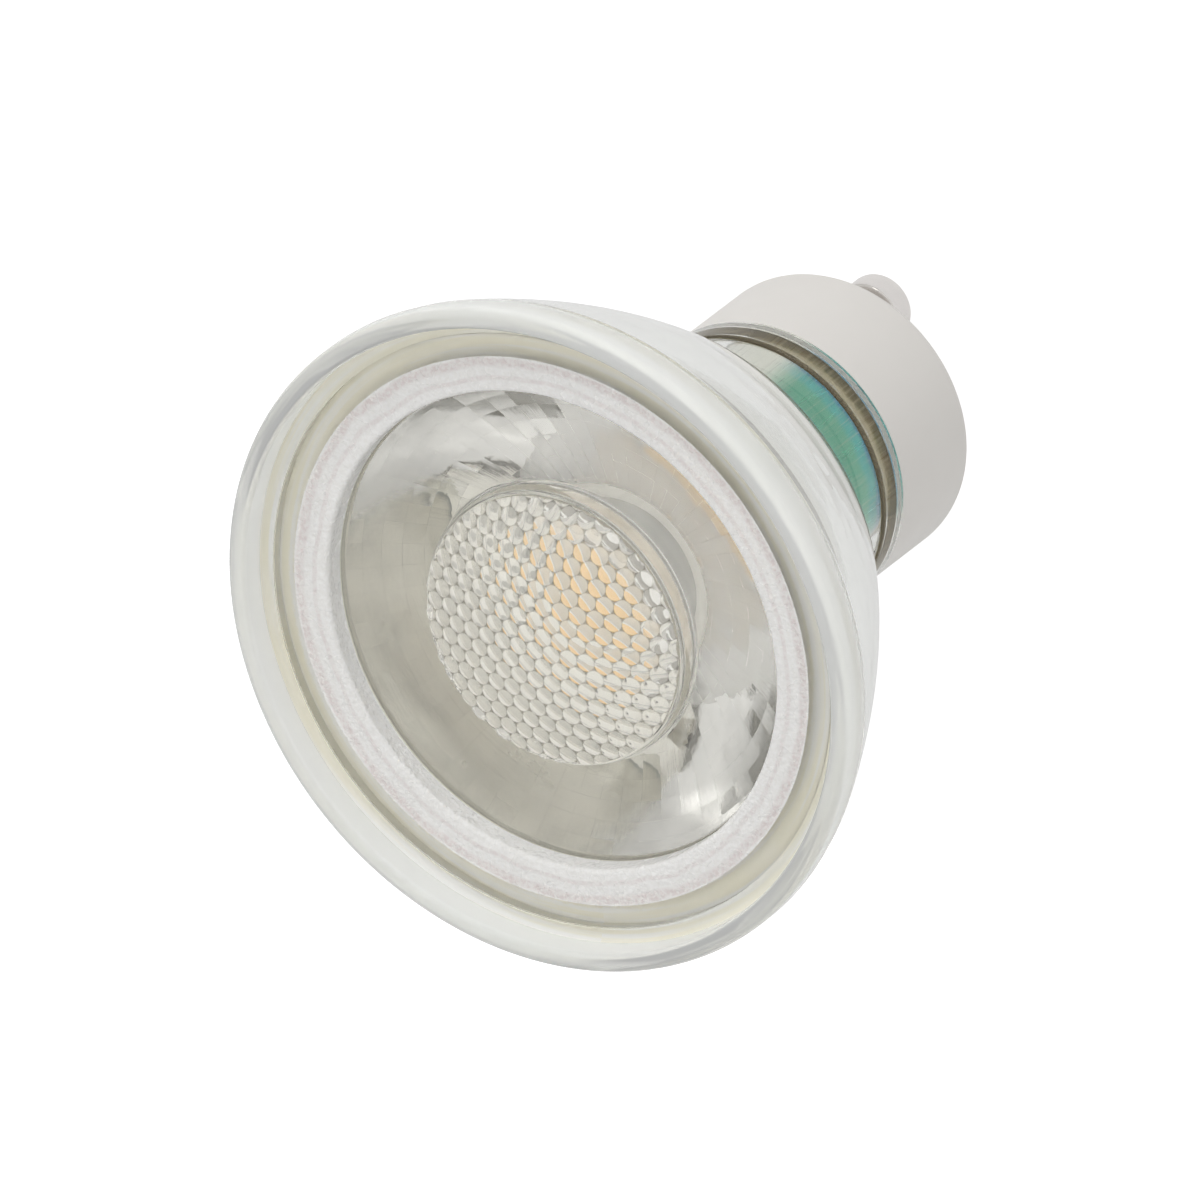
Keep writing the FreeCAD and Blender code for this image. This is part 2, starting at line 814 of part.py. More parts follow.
def output_lead(sign):
    """Wire from the board, out past the sleeve and up through the floor of the liner."""
    route = [
        (sign * output_lead_offset, output_lead_bottom),
        (sign * output_lead_offset, output_lead_rise),
        (sign * screw_offset, output_lead_turn),
        (sign * screw_offset, board_top + output_lead_stand),
    ]
    first = bend(route[0], route[1], route[2], lead_bend_radius)
    second = bend(route[1], route[2], route[3], lead_bend_radius)
    path = Part.Wire([
        Part.LineSegment(at(route[0]), at(first[0])).toShape(),
        Part.Arc(at(first[0]), at(first[1][0]), at(first[1][1])).toShape(),
        Part.LineSegment(at(first[1][1]), at(second[0])).toShape(),
        Part.Arc(at(second[0]), at(second[1][0]), at(second[1][1])).toShape(),
        Part.LineSegment(at(second[1][1]), at(route[3])).toShape(),
    ])
    section = Part.Wire(Part.makeCircle(lead_radius, at(route[0]), UP))
    return path.makePipeShell([section], True, True)


def lead_solder():
    """Two fillets of solder round the leads where they come up through the board."""
    joints = []
    radius = solder_diameter / 2
    middle = ((radius + lead_radius) / 2, board_top + solder_height * 0.3)
    for sign in (-1, 1):
        joint = spin((lead_radius, board_top), (radius, board_top),
                     (middle, (lead_radius, board_top + solder_height)))
        joint.translate(FreeCAD.Vector(sign * screw_offset, 0, 0))
        joints.append(joint)
    return Part.makeCompound(joints)


def all_pieces():
    """Name every piece of the bulb."""
    left, right = pin_places()
    return {
        "glass_envelope": glass_envelope(),
        "lens": lens(),
        "lens_seal": lens_seal(),
        "liner_cup": liner_cup(),
        "thermal_pad": thermal_pad(),
        "led_board": led_board(),
        "led_dam": led_dam(),
        "led_phosphor": led_phosphor(),
        "board_screws": board_screws(),
        "lead_solder": lead_solder(),
        "output_lead_left": output_lead(-1),
        "output_lead_right": output_lead(1),
        "driver_sleeve": driver_sleeve(),
        "driver_insulator": driver_insulator(),
        "driver_board": driver_board(),
        "electrolytic_capacitor": electrolytic_capacitor(),
        "film_capacitor": film_capacitor(),
        "choke_core": choke_core(),
        "choke_winding": choke_winding(),
        "bridge_rectifier": bridge_rectifier(),
        "driver_chip": driver_chip(),
        "output_diode": output_diode(),
        "fusible_resistor": fusible_resistor(),
        "chip_parts": chip_parts(),
        "input_lead_left": input_lead(left),
        "input_lead_right": input_lead(right),
        "neck_cement": neck_cement(),
        "base_cap": base_cap(),
        "contact_pin_left": contact_pin(left),
        "contact_pin_right": contact_pin(right),
    }


os.makedirs("parts", exist_ok=True)
for node, shape in all_pieces().items():
    shape.exportStep("parts/" + node + ".step")
    print(node, "solids", len(shape.Solids), "valid", shape.isValid(), "volume", round(shape.Volume, 2))
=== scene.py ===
import math

import bpy
from bpy.props import FloatProperty, FloatVectorProperty, IntProperty, PointerProperty
from mathutils import Matrix, Vector


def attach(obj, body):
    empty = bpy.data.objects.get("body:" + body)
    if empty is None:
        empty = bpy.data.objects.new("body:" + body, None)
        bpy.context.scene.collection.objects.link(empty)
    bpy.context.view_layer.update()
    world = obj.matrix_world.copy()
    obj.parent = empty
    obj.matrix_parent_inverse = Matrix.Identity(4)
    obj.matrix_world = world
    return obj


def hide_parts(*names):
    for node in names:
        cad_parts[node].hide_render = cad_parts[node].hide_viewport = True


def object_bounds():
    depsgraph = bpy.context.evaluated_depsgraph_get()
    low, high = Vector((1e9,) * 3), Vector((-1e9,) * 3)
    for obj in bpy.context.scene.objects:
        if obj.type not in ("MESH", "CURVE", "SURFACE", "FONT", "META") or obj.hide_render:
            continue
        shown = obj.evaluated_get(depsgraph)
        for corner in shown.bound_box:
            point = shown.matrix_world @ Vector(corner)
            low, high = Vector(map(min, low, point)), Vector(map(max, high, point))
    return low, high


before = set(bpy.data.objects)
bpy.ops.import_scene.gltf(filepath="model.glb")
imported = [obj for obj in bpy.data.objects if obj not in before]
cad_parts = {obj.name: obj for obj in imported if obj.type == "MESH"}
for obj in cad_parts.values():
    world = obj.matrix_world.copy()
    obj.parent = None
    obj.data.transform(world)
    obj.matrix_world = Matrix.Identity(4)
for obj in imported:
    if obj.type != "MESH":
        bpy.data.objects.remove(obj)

bl_info = {
    "name": "Spotlight bulb",
    "version": (1, 0, 0),
    "blender": (4, 5, 0),
    "location": "3D View > Sidebar > Spotlight bulb",
    "description": "Models and finishes a glass spotlight bulb round its packed solids",
    "category": "Object",
}

MM = 0.001
HAIR = 0.01 * MM
LITTLE = 0.1 * MM
ARC_STEP = math.radians(4.0)
SIDE_STEP = math.radians(0.7)
BEND_STEP = math.radians(12.0)
AROUND = 192
SMALL_AROUND = 96
CAD_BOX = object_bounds()
# The view: its turn about the bulb's axis, and its right, up and back before that turn
VIEW_TURN = math.radians(34.9)
VIEW_RIGHT = (-0.60715, -0.6135, -0.5049)
VIEW_UP = (0.79459, -0.4688, -0.3858)
VIEW_BACK = (0.0, -0.6355, 0.7721)
SENSOR = 36.0
AXIS = (0.0, 0.0, 1.0)


def size(name, words, default):
    """A length that a user can change, written in millimetres."""
    return FloatProperty(name=name, description=words, default=default * MM, precision=5, unit="LENGTH")


def colour(name, words, default):
    """A colour that a user can change."""
    return FloatVectorProperty(name=name, description=words, default=default, min=0.0, max=1.0,
                               size=len(default), subtype="COLOR")


# Sizes and colours

class GlassSizes(bpy.types.PropertyGroup):
    """Sizes of the pressed glass bowl, neck and collar."""
    rim_diameter: size("Rim diameter", "Outside of the rim", 50.0)
    rim_height: size("Rim height", "Height of the rim over the base's end face", 42.0)
    rim_band: size("Rim band", "Straight part of the rim's outside", 0.9)
    rim_round: size("Rim round", "Rounding of the rim's outer edge", 0.7)
    rim_tuck: size("Rim tuck", "How far the side starts inside the rim", 0.3)
    rim_tuck_drop: size("Rim tuck drop", "Height of the slope below the rim's band", 1.2)
    lip_width: size("Lip width", "Width of the glass lip round the lens", 1.5)
    lip_round: size("Lip round", "Rounding of the lip's inner edge", 0.4)
    ledge_drop: size("Ledge drop", "Depth of the ledge that the lens lies on", 3.7)
    wall: size("Wall", "Thickness of the bowl's wall", 2.4)
    neck_wall: size("Neck wall", "Thickness of the neck's wall", 2.0)
    side_radius: size("Side radius", "Radius of the bowl's long side", 80.0)
    shoulder_radius: size("Shoulder radius", "Radius of the bowl's shoulder", 15.0)
    shoulder_diameter: size("Shoulder diameter", "Width of the shoulder's circle", 39.12)
    neck_length: size("Neck length", "From the base's mouth to the shoulder's lowest point", 7.58)
    neck_diameter: size("Neck diameter", "Outside of the neck", 21.0)
    neck_fillet_outside: size("Outer neck fillet", "Fillet between neck and shoulder, outside", 2.0)
    neck_fillet_inside: size("Inner neck fillet", "Fillet between neck and shoulder, inside", 3.5)
    collar_diameter: size("Collar diameter", "Outside of the collar over the base", 21.6)
    collar_height: size("Collar height", "Height of the collar over the base", 2.6)
    spigot_end: size("Spigot end", "Height of the glass's end inside the base", 4.7)
    spigot_gap: size("Spigot gap", "Room for cement round the spigot", 0.25)


class LensSizes(bpy.types.PropertyGroup):
    """Sizes of the moulded lens and its honeycomb."""
    seal_width: size("Seal width", "Silicone between lens and glass lip", 1.1)
    seal_drop: size("Seal drop", "How far the silicone sags", 0.35)
    flange_thickness: size("Flange thickness", "Thickness of the frosted flange", 1.6)
    flange_width: size("Flange width", "Width of the frosted flange", 4.4)
    frost_width: size("Frost width", "Frosted part of the flange, from the sunk ring", 2.7)
    film_width: size("Film width", "Silicone squeezed out under the flange", 2.7)
    film_depth: size("Film depth", "Thickness of that silicone", 0.3)
    facet_height: size("Facet height", "Height of the small facets on the cone", 1.4)
    facet_depth: size("Facet depth", "How far those facets lean", 0.16)
    facet_count: IntProperty(name="Facets", description="Facets round the cone", default=56, min=3)
    trough_depth: size("Ring depth", "Depth of the sunk ring", 2.0)
    trough_round: size("Ring round", "Rounding of the sunk ring's corners", 0.35)
    boss_diameter: size("Boss diameter", "Boss that carries the honeycomb", 20.8)
    boss_height: size("Boss height", "Height of the boss over the sunk ring", 1.5)
    boss_round: size("Boss round", "Rounding of the boss's edge", 0.3)
    cone_land: size("Cone land", "Flat between the sunk ring and the cone", 1.6)
    cone_bulge: size("Cone bulge", "How far the reflecting cone bulges", 1.2)
    foot_wall: size("Foot wall", "Wall of the foot round the pocket", 1.5)
    foot_height: size("Foot height", "Height of the foot over the board", 1.6)
    pocket_gap: size("Pocket gap", "Room between the pocket and the silicone ring", 0.2)
    pocket_depth: size("Pocket depth", "Depth of the pocket over the light source", 5.2)
    pocket_draft: size("Pocket draft", "How much narrower the pocket ends", 0.5)
    pocket_lens_sag: size("Pocket lens sag", "Bulge of the lens in the pocket's end", 1.3)
    dome_radius: size("Crown radius", "Radius of the honeycomb's crown", 35.5)
    cell_pitch: size("Cell pitch", "Distance between neighbouring cells", 1.34)
    cell_rise: size("Cell rise", "Height of each small lens", 0.32)
    cell_root: size("Cell root", "Depth of the honeycomb's foot in the boss", 0.5)
    contact_gap: size("Contact gap", "Air between faces that touch", 0.02)
    cell_turn: FloatProperty(name="Cell turn", description="Turn of the honeycomb's rows about the axis",
                             default=math.radians(20.0), subtype="ANGLE")


class SourceSizes(bpy.types.PropertyGroup):
    """Sizes of the liner and the light source on it."""
    liner_gap: size("Liner gap", "Air between glass and liner", 0.15)
    liner_sheet: size("Liner sheet", "Thickness of the liner's metal", 0.8)
    liner_floor_margin: size("Floor margin", "Liner floor outside the board", 1.0)
    liner_top_drop: size("Liner drop", "Liner's edge below the glass ledge", 2.1)
    pad_thickness: size("Pad", "Thickness of the soft pad", 0.3)
    board_margin: size("Board margin", "Board outside the screws' circle", 2.0)
    board_thickness: size("Board", "Thickness of the light source's board", 1.0)
    dam_diameter: size("Dam diameter", "Silicone ring round the phosphor", 11.4)
    dam_width: size("Dam width", "Width of that ring", 0.7)
    dam_height: size("Dam height", "Height of that ring", 0.5)
    phosphor_height: size("Phosphor height", "Height of the phosphor's edge", 0.35)
    phosphor_crown: size("Phosphor crown", "Rise of the phosphor's middle", 0.12)
    screw_foot_gap: size("Screw gap", "Room between the lens's foot and a screw's head", 0.4)
    screw_head_diameter: size("Screw head", "Width of a screw's head", 3.2)
    screw_diameter: size("Screw hole", "Width of a screw's hole", 2.1)
    lead_hole_diameter: size("Lead hole", "Width of a lead's hole", 1.1)


class NeckSizes(bpy.types.PropertyGroup):
    """Sizes of the sleeve that shows through the neck."""
    sleeve_gap: size("Sleeve gap", "Air between neck and sleeve", 0.2)
    sleeve_wall: size("Sleeve wall", "Thickness of the sleeve", 0.3)
    sleeve_bottom: size("Sleeve bottom", "Height of the sleeve's foot on the ribs", 4.4)
    sleeve_top: size("Sleeve top", "Height of the sleeve's open end", 17.8)


class BaseSizes(bpy.types.PropertyGroup):
    """Sizes of the base cap and its two pins."""
    diameter: size("Base diameter", "Outside of the base cap", 21.5)
    height: size("Base height", "Height of the base cap", 9.7)
    wall: size("Base wall", "Wall of the base cap", 1.1)
    floor: size("Base floor", "Floor that carries the pins", 1.8)
    edge_round: size("Edge round", "Rounding of the end face's edge", 1.0)
    mouth_round: size("Mouth round", "Rounding of the mouth's outer edge", 0.25)
    rib_width: size("Rib width", "Width of each inner rib", 1.2)
    rib_height: size("Rib height", "Height of each inner rib", 2.6)
    rib_length: size("Rib length", "Length of each inner rib", 2.2)
    rib_count: IntProperty(name="Ribs", description="Number of inner ribs", default=4, min=1)
    pin_pitch: size("Pin pitch", "Distance between the pins", 10.0)
    pin_reach: size("Pin reach", "Reach of the pins past the end face", 7.7)
    head_diameter: size("Head diameter", "Width of a pin's head", 5.0)
    head_height: size("Head height", "Height of a pin's head", 2.4)
    head_round: size("Head round", "Rounding of a pin's end", 0.7)
    under_round: size("Under round", "Rounding below a pin's head", 0.3)
    stem_diameter: size("Stem diameter", "Width of a pin's stem", 3.1)
    shank_diameter: size("Shank diameter", "Width of a pin in the floor", 2.4)
    rivet_diameter: size("Rivet diameter", "Width of a pin's riveted end", 3.9)
    rivet_height: size("Rivet height", "Height of a pin's riveted end", 0.4)
    bore_diameter: size("Bore diameter", "Width of a pin's bore", 1.2)
    bore_depth: size("Bore depth", "Depth of a pin's bore", 5.0)


class Finishes(bpy.types.PropertyGroup):
    """Colours of the visible surfaces."""
    glass: colour("Glass", "Clear pressed glass", (0.985, 0.99, 0.98))
    glass_tint: colour("Glass tint", "What thick glass turns light to", (0.84, 0.83, 0.62))
    lens: colour("Lens", "Clear moulded acrylic", (0.985, 0.98, 0.96))
    seal: colour("Seal", "Yellowed silicone", (0.87, 0.835, 0.67))
    liner: colour("Liner", "Bright spun aluminium", (0.95, 0.935, 0.89))
    film_green: colour("Film, green", "Film on the sleeve towards the face", (0.11, 0.46, 0.30))
    film_teal: colour("Film, teal", "Film on the sleeve's middle", (0.06, 0.46, 0.42))
    film_blue: colour("Film, blue", "Film on the sleeve towards the base", (0.08, 0.34, 0.52))
    base: colour("Base", "Warm white plastic", (0.76, 0.735, 0.70))
    pin: colour("Pin", "Nickel plating", (0.90, 0.87, 0.85))
    phosphor: colour("Phosphor", "Yellow phosphor", (0.98, 0.60, 0.18))


class Studio(bpy.types.PropertyGroup):
    """Camera, lamps and background."""
    frame_width: size("Frame width", "What the picture is wide at the rim", 83.28)
    distance: size("Camera distance", "From the camera to the rim", 3500.0)
    shift_right: size("Aim right", "Picture's centre to the right of the rim's", 3.82)
    shift_up: size("Aim up", "Picture's centre above the rim's", 2.51)
    aim_height: size("Aim height", "Height of the rim's widest circle", 40.7)
    ambient: FloatProperty(name="Ambient", description="Light from all round", default=0.74, min=0.0)
    surround: FloatProperty(name="Surround", description="What glass and metal see between the soft cards",
                            default=0.80, min=0.0)
    overhead: FloatProperty(name="Overhead", description="What glass and metal see above the bulb",
                            default=0.80, min=0.0)
    through_glass: FloatProperty(name="Through glass", default=2.1, min=0.0,
                                 description="Light that reaches surfaces behind glass")
    lamp_power: FloatProperty(name="Lamp power", description="Power of the large soft lamp", default=2.6,
                              unit="POWER")


# Outlines are lists of (radius, height)

def unit(start, end):
    """Unit vector from one outline point to another."""
    length = math.dist(start, end)
    return (end[0] - start[0]) / length, (end[1] - start[1]) / length


def swing(centre, start, end, step=ARC_STEP):
    """Points of the shorter arc from start to end about a centre, without the start."""
    radius = math.dist(centre, start)
    first = math.atan2(start[1] - centre[1], start[0] - centre[0])
    turn = math.atan2(end[1] - centre[1], end[0] - centre[0]) - first
    turn = (turn + math.pi) % (2 * math.pi) - math.pi
    count = max(4, math.ceil(abs(turn) / step))
    points = []
    for number in range(1, count + 1):
        angle = first + turn * number / count
        points.append((centre[0] + radius * math.cos(angle), centre[1] + radius * math.sin(angle)))
    points[-1] = end
    return points


def crown_centre(edge, tip):
    """Centre, on the axis, of the arc from an edge point to a tip on the axis."""
    rise = tip[1] - edge[1]
    return 0.0, tip[1] - (edge[0] ** 2 + rise ** 2) / (2 * rise)


def bend(before, corner, after, radius):
    """Points that round a corner of an outline."""
    back = unit(corner, before)
    on = unit(corner, after)
    half = math.acos(back[0] * on[0] + back[1] * on[1]) / 2
    run = radius / math.tan(half)
    bisector = unit((0, 0), (back[0] + on[0], back[1] + on[1]))
    depth = radius / math.sin(half)
    start = (corner[0] + back[0] * run, corner[1] + back[1] * run)
    end = (corner[0] + on[0] * run, corner[1] + on[1] * run)
    centre = (corner[0] + bisector[0] * depth, corner[1] + bisector[1] * depth)
    return [start] + swing(centre, start, end, BEND_STEP)


def through(start, middle, end):
    """Points of the arc through three points, without the start."""
    ax, ay, bx, by, cx, cy = *start, *middle, *end
    d = 2 * (ax * (by - cy) + bx * (cy - ay) + cx * (ay - by))
    a2, b2, c2 = ax * ax + ay * ay, bx * bx + by * by, cx * cx + cy * cy
    centre = ((a2 * (by - cy) + b2 * (cy - ay) + c2 * (ay - by)) / d,
              (a2 * (cx - bx) + b2 * (ax - cx) + c2 * (bx - ax)) / d)
    return swing(centre, start, middle) + swing(centre, middle, end)


class Bowl:
    """The bowl's arcs, which glass and liner share."""

    def __init__(self, glass, base):
        self.glass = glass
        self.shoulder = (glass.shoulder_diameter / 2 - glass.shoulder_radius,
                         base.height + glass.neck_length + glass.shoulder_radius)
        self.top = (glass.rim_diameter / 2 - glass.rim_tuck,
                    glass.rim_height - glass.rim_round - glass.rim_band - glass.rim_tuck_drop)
        span = math.dist(self.shoulder, self.top)
        on = unit(self.shoulder, self.top)
        inner = glass.side_radius - glass.shoulder_radius
        along = (inner ** 2 - glass.side_radius ** 2 + span ** 2) / (2 * span)
        across = math.sqrt(inner ** 2 - along ** 2)
        self.side = (self.shoulder[0] + on[0] * along - on[1] * across,
                     self.shoulder[1] + on[1] * along + on[0] * across)

    def knee(self, inset):
        """Where side and shoulder meet, this far inside the glass."""
        outward = unit(self.side, self.shoulder)
        reach = self.glass.shoulder_radius - inset
        return self.shoulder[0] + outward[0] * reach, self.shoulder[1] + outward[1] * reach

    def on_side(self, inset, height):
        """Point of the side at a height."""
        radius = self.glass.side_radius - inset
        return self.side[0] + math.sqrt(radius ** 2 - (height - self.side[1]) ** 2), height

    def on_shoulder(self, inset, height):
        """Point of the shoulder at a height."""
        radius = self.glass.shoulder_radius - inset
        return self.shoulder[0] + math.sqrt(radius ** 2 - (height - self.shoulder[1]) ** 2), height

    def fillet(self, inset, tube_radius, fillet):
        """Joint, centre and end of the arc between shoulder and neck."""
        radius = self.glass.shoulder_radius - inset
        across = tube_radius + fillet - self.shoulder[0]
        drop = math.sqrt((radius + fillet) ** 2 - across ** 2)
        centre = (tube_radius + fillet, self.shoulder[1] - drop)
        toward = unit(self.shoulder, centre)
        joint = (self.shoulder[0] + toward[0] * radius, self.shoulder[1] + toward[1] * radius)
        return joint, centre, (tube_radius, centre[1])


class Heights:
    """Heights and radii that more than one piece uses."""

    def __init__(self, scene):
        glass, lens, source, base = scene.bulb_glass, scene.bulb_lens, scene.bulb_source, scene.bulb_base
        self.bowl = Bowl(glass, base)
        self.ledge = glass.rim_height - glass.ledge_drop
        self.lip = glass.rim_diameter / 2 - glass.lip_width
        self.lens = self.lip - lens.seal_width
        self.flange = self.ledge + lens.flange_thickness
        self.trough = self.lens - lens.flange_width
        self.trough_floor = self.flange - lens.trough_depth
        self.boss = lens.boss_diameter / 2
        self.boss_top = self.trough_floor + lens.boss_height
        self.pocket = source.dam_diameter / 2 + lens.pocket_gap
        self.foot = self.pocket + lens.foot_wall
        self.screw = self.foot + source.screw_foot_gap + source.screw_head_diameter / 2
        self.board = self.screw + source.board_margin
        self.inset = glass.wall + source.liner_gap
        self.floor_edge = self.board + source.liner_floor_margin
        shoulder = self.bowl.shoulder
        self.liner_floor = shoulder[1] - math.sqrt(
            (glass.shoulder_radius - self.inset) ** 2 - (self.floor_edge - shoulder[0]) ** 2)
        self.liner_floor_top = self.liner_floor + source.liner_sheet
        self.liner_top = self.ledge - source.liner_top_drop
        self.pad_top = self.liner_floor_top + source.pad_thickness
        self.board_top = self.pad_top + source.board_thickness
        self.foot_top = self.board_top + lens.foot_height


# Modelling by operators

def deselect():
    """Deselect everything, so that only what comes next is worked on."""
    if bpy.context.object and bpy.context.object.mode != "OBJECT":
        bpy.ops.object.mode_set(mode="OBJECT")
    bpy.ops.object.select_all(action="DESELECT")


def only(piece):
    """Select one piece and make it active."""
    deselect()
    piece.select_set(True)
    bpy.context.view_layer.objects.active = piece


def named(name):
    """Name the active object and its mesh."""
    piece = bpy.context.object
    piece.name = name
    piece.data.name = name
    return piece


def turned(name, outline, around=AROUND):
    """Extrude an outline point by point and spin it about the axis into a closed piece."""
    deselect()
    bpy.ops.mesh.primitive_circle_add(vertices=3, radius=MM)
    piece = named(name)
    bpy.ops.object.mode_set(mode="EDIT")
    bpy.ops.mesh.merge(type="CENTER")
    bpy.ops.transform.translate(value=(outline[0][0], 0, outline[0][1]))
    open_ended = outline[0][0] < 1e-9 and outline[-1][0] < 1e-9
    here = outline[0]
    for there in outline[1:] + ([] if open_ended else [outline[0]]):
        if math.dist(here, there) < 1e-7:
            continue
        bpy.ops.mesh.extrude_region_move(
            TRANSFORM_OT_translate={"value": (there[0] - here[0], 0, there[1] - here[1])})
        here = there
    bpy.ops.mesh.select_all(action="SELECT")
    bpy.ops.mesh.spin(steps=around, angle=2 * math.pi, center=(0, 0, 0), axis=AXIS)
    tidy_mesh()
    return piece


def tidy_mesh(threshold=2e-7):
    """Merge doubles, drop what has no area and point the faces outwards; ends in object mode."""
    if bpy.context.object.mode != "EDIT":
        bpy.ops.object.mode_set(mode="EDIT")
    bpy.ops.mesh.select_all(action="SELECT")
    bpy.ops.mesh.remove_doubles(threshold=threshold)
    bpy.ops.mesh.dissolve_degenerate(threshold=threshold)
    bpy.ops.mesh.select_all(action="SELECT")
    bpy.ops.mesh.normals_make_consistent(inside=False)
    bpy.ops.object.mode_set(mode="OBJECT")


def smooth(piece, degrees=28.0):
    """Smooth shading, sharp at corners."""
    only(piece)
    bpy.ops.object.shade_smooth_by_angle(angle=math.radians(degrees))


def moved(piece, x=0.0, y=0.0, z=0.0):
    """Move a piece's mesh; its object stays at the origin."""
    only(piece)
    piece.location = (x, y, z)
    bpy.ops.object.transform_apply(location=True, rotation=False, scale=False)


def rod(name, radius, bottom, top, x=0.0, y=0.0, around=48):
    """Round cutter."""
    deselect()
    bpy.ops.mesh.primitive_cylinder_add(vertices=around, radius=radius, depth=top - bottom,
                                        location=(x, y, (top + bottom) / 2))
    bpy.ops.object.transform_apply(location=True, rotation=True, scale=True)
    return named(name)


def combined(piece, other, operation):
    """Cut, join or intersect a piece with another, which is used up."""
    only(piece)
    change = piece.modifiers.new(operation.title(), "BOOLEAN")
    change.operation = operation
    change.solver = "EXACT"
    change.object = other
    bpy.ops.object.modifier_apply(modifier=change.name)
    mesh = other.data
    bpy.data.objects.remove(other)
    bpy.data.meshes.remove(mesh)
    return piece


def placed(piece, material, slot, *nodes):
    """Finish a piece: one material, its body and the nodes that it stands for; slot is not used."""
    piece.data.materials.clear()
    piece.data.materials.append(material)
    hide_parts(*nodes)
    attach(piece, "root")
    return piece


def divided(piece, materials, pick):
    """Add finishes to a piece; pick gives each face its own, from its reach from the axis and the face."""
    for material in materials:
        piece.data.materials.append(material)
    for face in piece.data.polygons:
        face.material_index = int(pick(math.hypot(face.center.x, face.center.y), face))


# Node groups that more than one material uses

def group_of(name, inputs, outputs):
    """Start a node group with named sockets; inputs are (name, type, default)."""
    tree = bpy.data.node_groups.new(name, "ShaderNodeTree")
    for label, kind, default in inputs:
        socket = tree.interface.new_socket(label, in_out="INPUT", socket_type="NodeSocket" + kind)
        if default is not None:
            socket.default_value = default
    for label, kind in outputs:
        tree.interface.new_socket(label, in_out="OUTPUT", socket_type="NodeSocket" + kind)
    return tree, tree.nodes.new("NodeGroupInput"), tree.nodes.new("NodeGroupOutput")


class Bench:
    """Adds and joins the nodes of one tree."""

    def __init__(self, tree):
        self.tree = tree

    def add(self, kind, inputs=None, **settings):
        """Add a node; inputs maps socket names or numbers to values or to other sockets."""
        node = self.tree.nodes.new("ShaderNode" + kind)
        for key, value in settings.items():
            setattr(node, key, value)
        for key, value in (inputs or {}).items():
            self.feed(node.inputs[key], value)
        return node

    def feed(self, socket, value):
        """Give a socket a value or a link; a colour may come without its alpha."""
        if isinstance(value, bpy.types.NodeSocket):
            self.tree.links.new(value, socket)
        elif socket.type == "RGBA":
            socket.default_value = (*value, 1.0)
        else:
            socket.default_value = value

    def maths(self, operation, first, second=0.0, third=0.0, clamp=False):
        """One Math node's result."""
        node = self.add("Math", {0: first, 1: second, 2: third}, operation=operation, use_clamp=clamp)
        return node.outputs[0]

    def ranged(self, value, low, high, to_low=0.0, to_high=1.0, kind="SMOOTHSTEP"):
        """Value mapped from one range to another."""
        node = self.add("MapRange", {"Value": value, "From Min": low, "From Max": high,
                                     "To Min": to_low, "To Max": to_high}, interpolation_type=kind)
        return node.outputs["Result"]

    def mixed(self, factor, first, second):
        """Two colours mixed."""
        node = self.add("Mix", data_type="RGBA")
        self.feed(node.inputs["Factor"], factor)
        self.feed(node.inputs["A"], first)
        self.feed(node.inputs["B"], second)
        return node.outputs["Result"]

    def point(self, x, y=0.0, z=0.0):
        """A vector of three values."""
        return self.add("CombineXYZ", {0: x, 1: y, 2: z}).outputs[0]

    def noise(self, vector, scale, detail=2.0, roughness=0.5):
        """Noise over a vector."""
        node = self.add("TexNoise", {"Vector": vector, "Scale": scale, "Detail": detail,
                                     "Roughness": roughness})
        return node.outputs["Fac"]

    def place(self):
        """Object coordinates in millimetres."""
        where = self.add("TexCoord").outputs["Object"]
        return self.add("VectorMath", {0: where, "Scale": 1000.0}, operation="SCALE").outputs[0]


def make_axis_group():
    """Radius, angle and height of a point about the bulb's axis, in millimetres and turns."""
    tree, come, go = group_of("About the axis", [("Place", "Vector", None)],
                              [("Radius", "Float"), ("Angle", "Float"), ("Height", "Float")])
    bench = Bench(tree)
    parts = bench.add("SeparateXYZ", {0: come.outputs["Place"]}).outputs
    flat = bench.point(parts[0], parts[1])
    radius = bench.add("VectorMath", {0: flat}, operation="LENGTH").outputs["Value"]
    angle = bench.maths("ARCTAN2", parts[1], parts[0])
    tree.links.new(radius, go.inputs["Radius"])
    tree.links.new(angle, go.inputs["Angle"])
    tree.links.new(parts[2], go.inputs["Height"])
    return tree


def make_grain_group():
    """Moulded grain: fine bumps over a soft unevenness."""
    tree, come, go = group_of(
        "Moulded grain", [("Place", "Vector", None), ("Fine scale", "Float", 6.0),
                          ("Coarse scale", "Float", 0.4), ("Coarse share", "Float", 0.5)],
        [("Height", "Float"), ("Mottle", "Float")])
    bench = Bench(tree)
    fine = bench.noise(come.outputs["Place"], come.outputs["Fine scale"], 3.0)
    coarse = bench.noise(come.outputs["Place"], come.outputs["Coarse scale"], 2.0)
    share = bench.maths("MULTIPLY", coarse, come.outputs["Coarse share"])
    tree.links.new(bench.maths("ADD", fine, share), go.inputs["Height"])
    tree.links.new(coarse, go.inputs["Mottle"])
    return tree


def make_turning_group():
    """Fine rings left by turning or spinning, with streaks that fade in and out."""
    tree, come, go = group_of("Turning marks", [("Along", "Float", 0.0), ("Angle", "Float", 0.0),
                                                ("Rings", "Float", 8.0), ("Place", "Vector", None)],
                              [("Height", "Float"), ("Mottle", "Float")])
    bench = Bench(tree)
    slow = bench.noise(come.outputs["Place"], 0.35, 2.0)
    along = bench.maths("MULTIPLY", come.outputs["Along"], come.outputs["Rings"])
    turn = bench.maths("MULTIPLY", come.outputs["Angle"], 0.7)
    rings = bench.noise(bench.point(along, turn), 1.0, 3.0, 0.6)
    tree.links.new(bench.maths("MULTIPLY", rings, bench.maths("ADD", slow, 0.5)), go.inputs["Height"])
    tree.links.new(slow, go.inputs["Mottle"])
    return tree


SHARED = {}


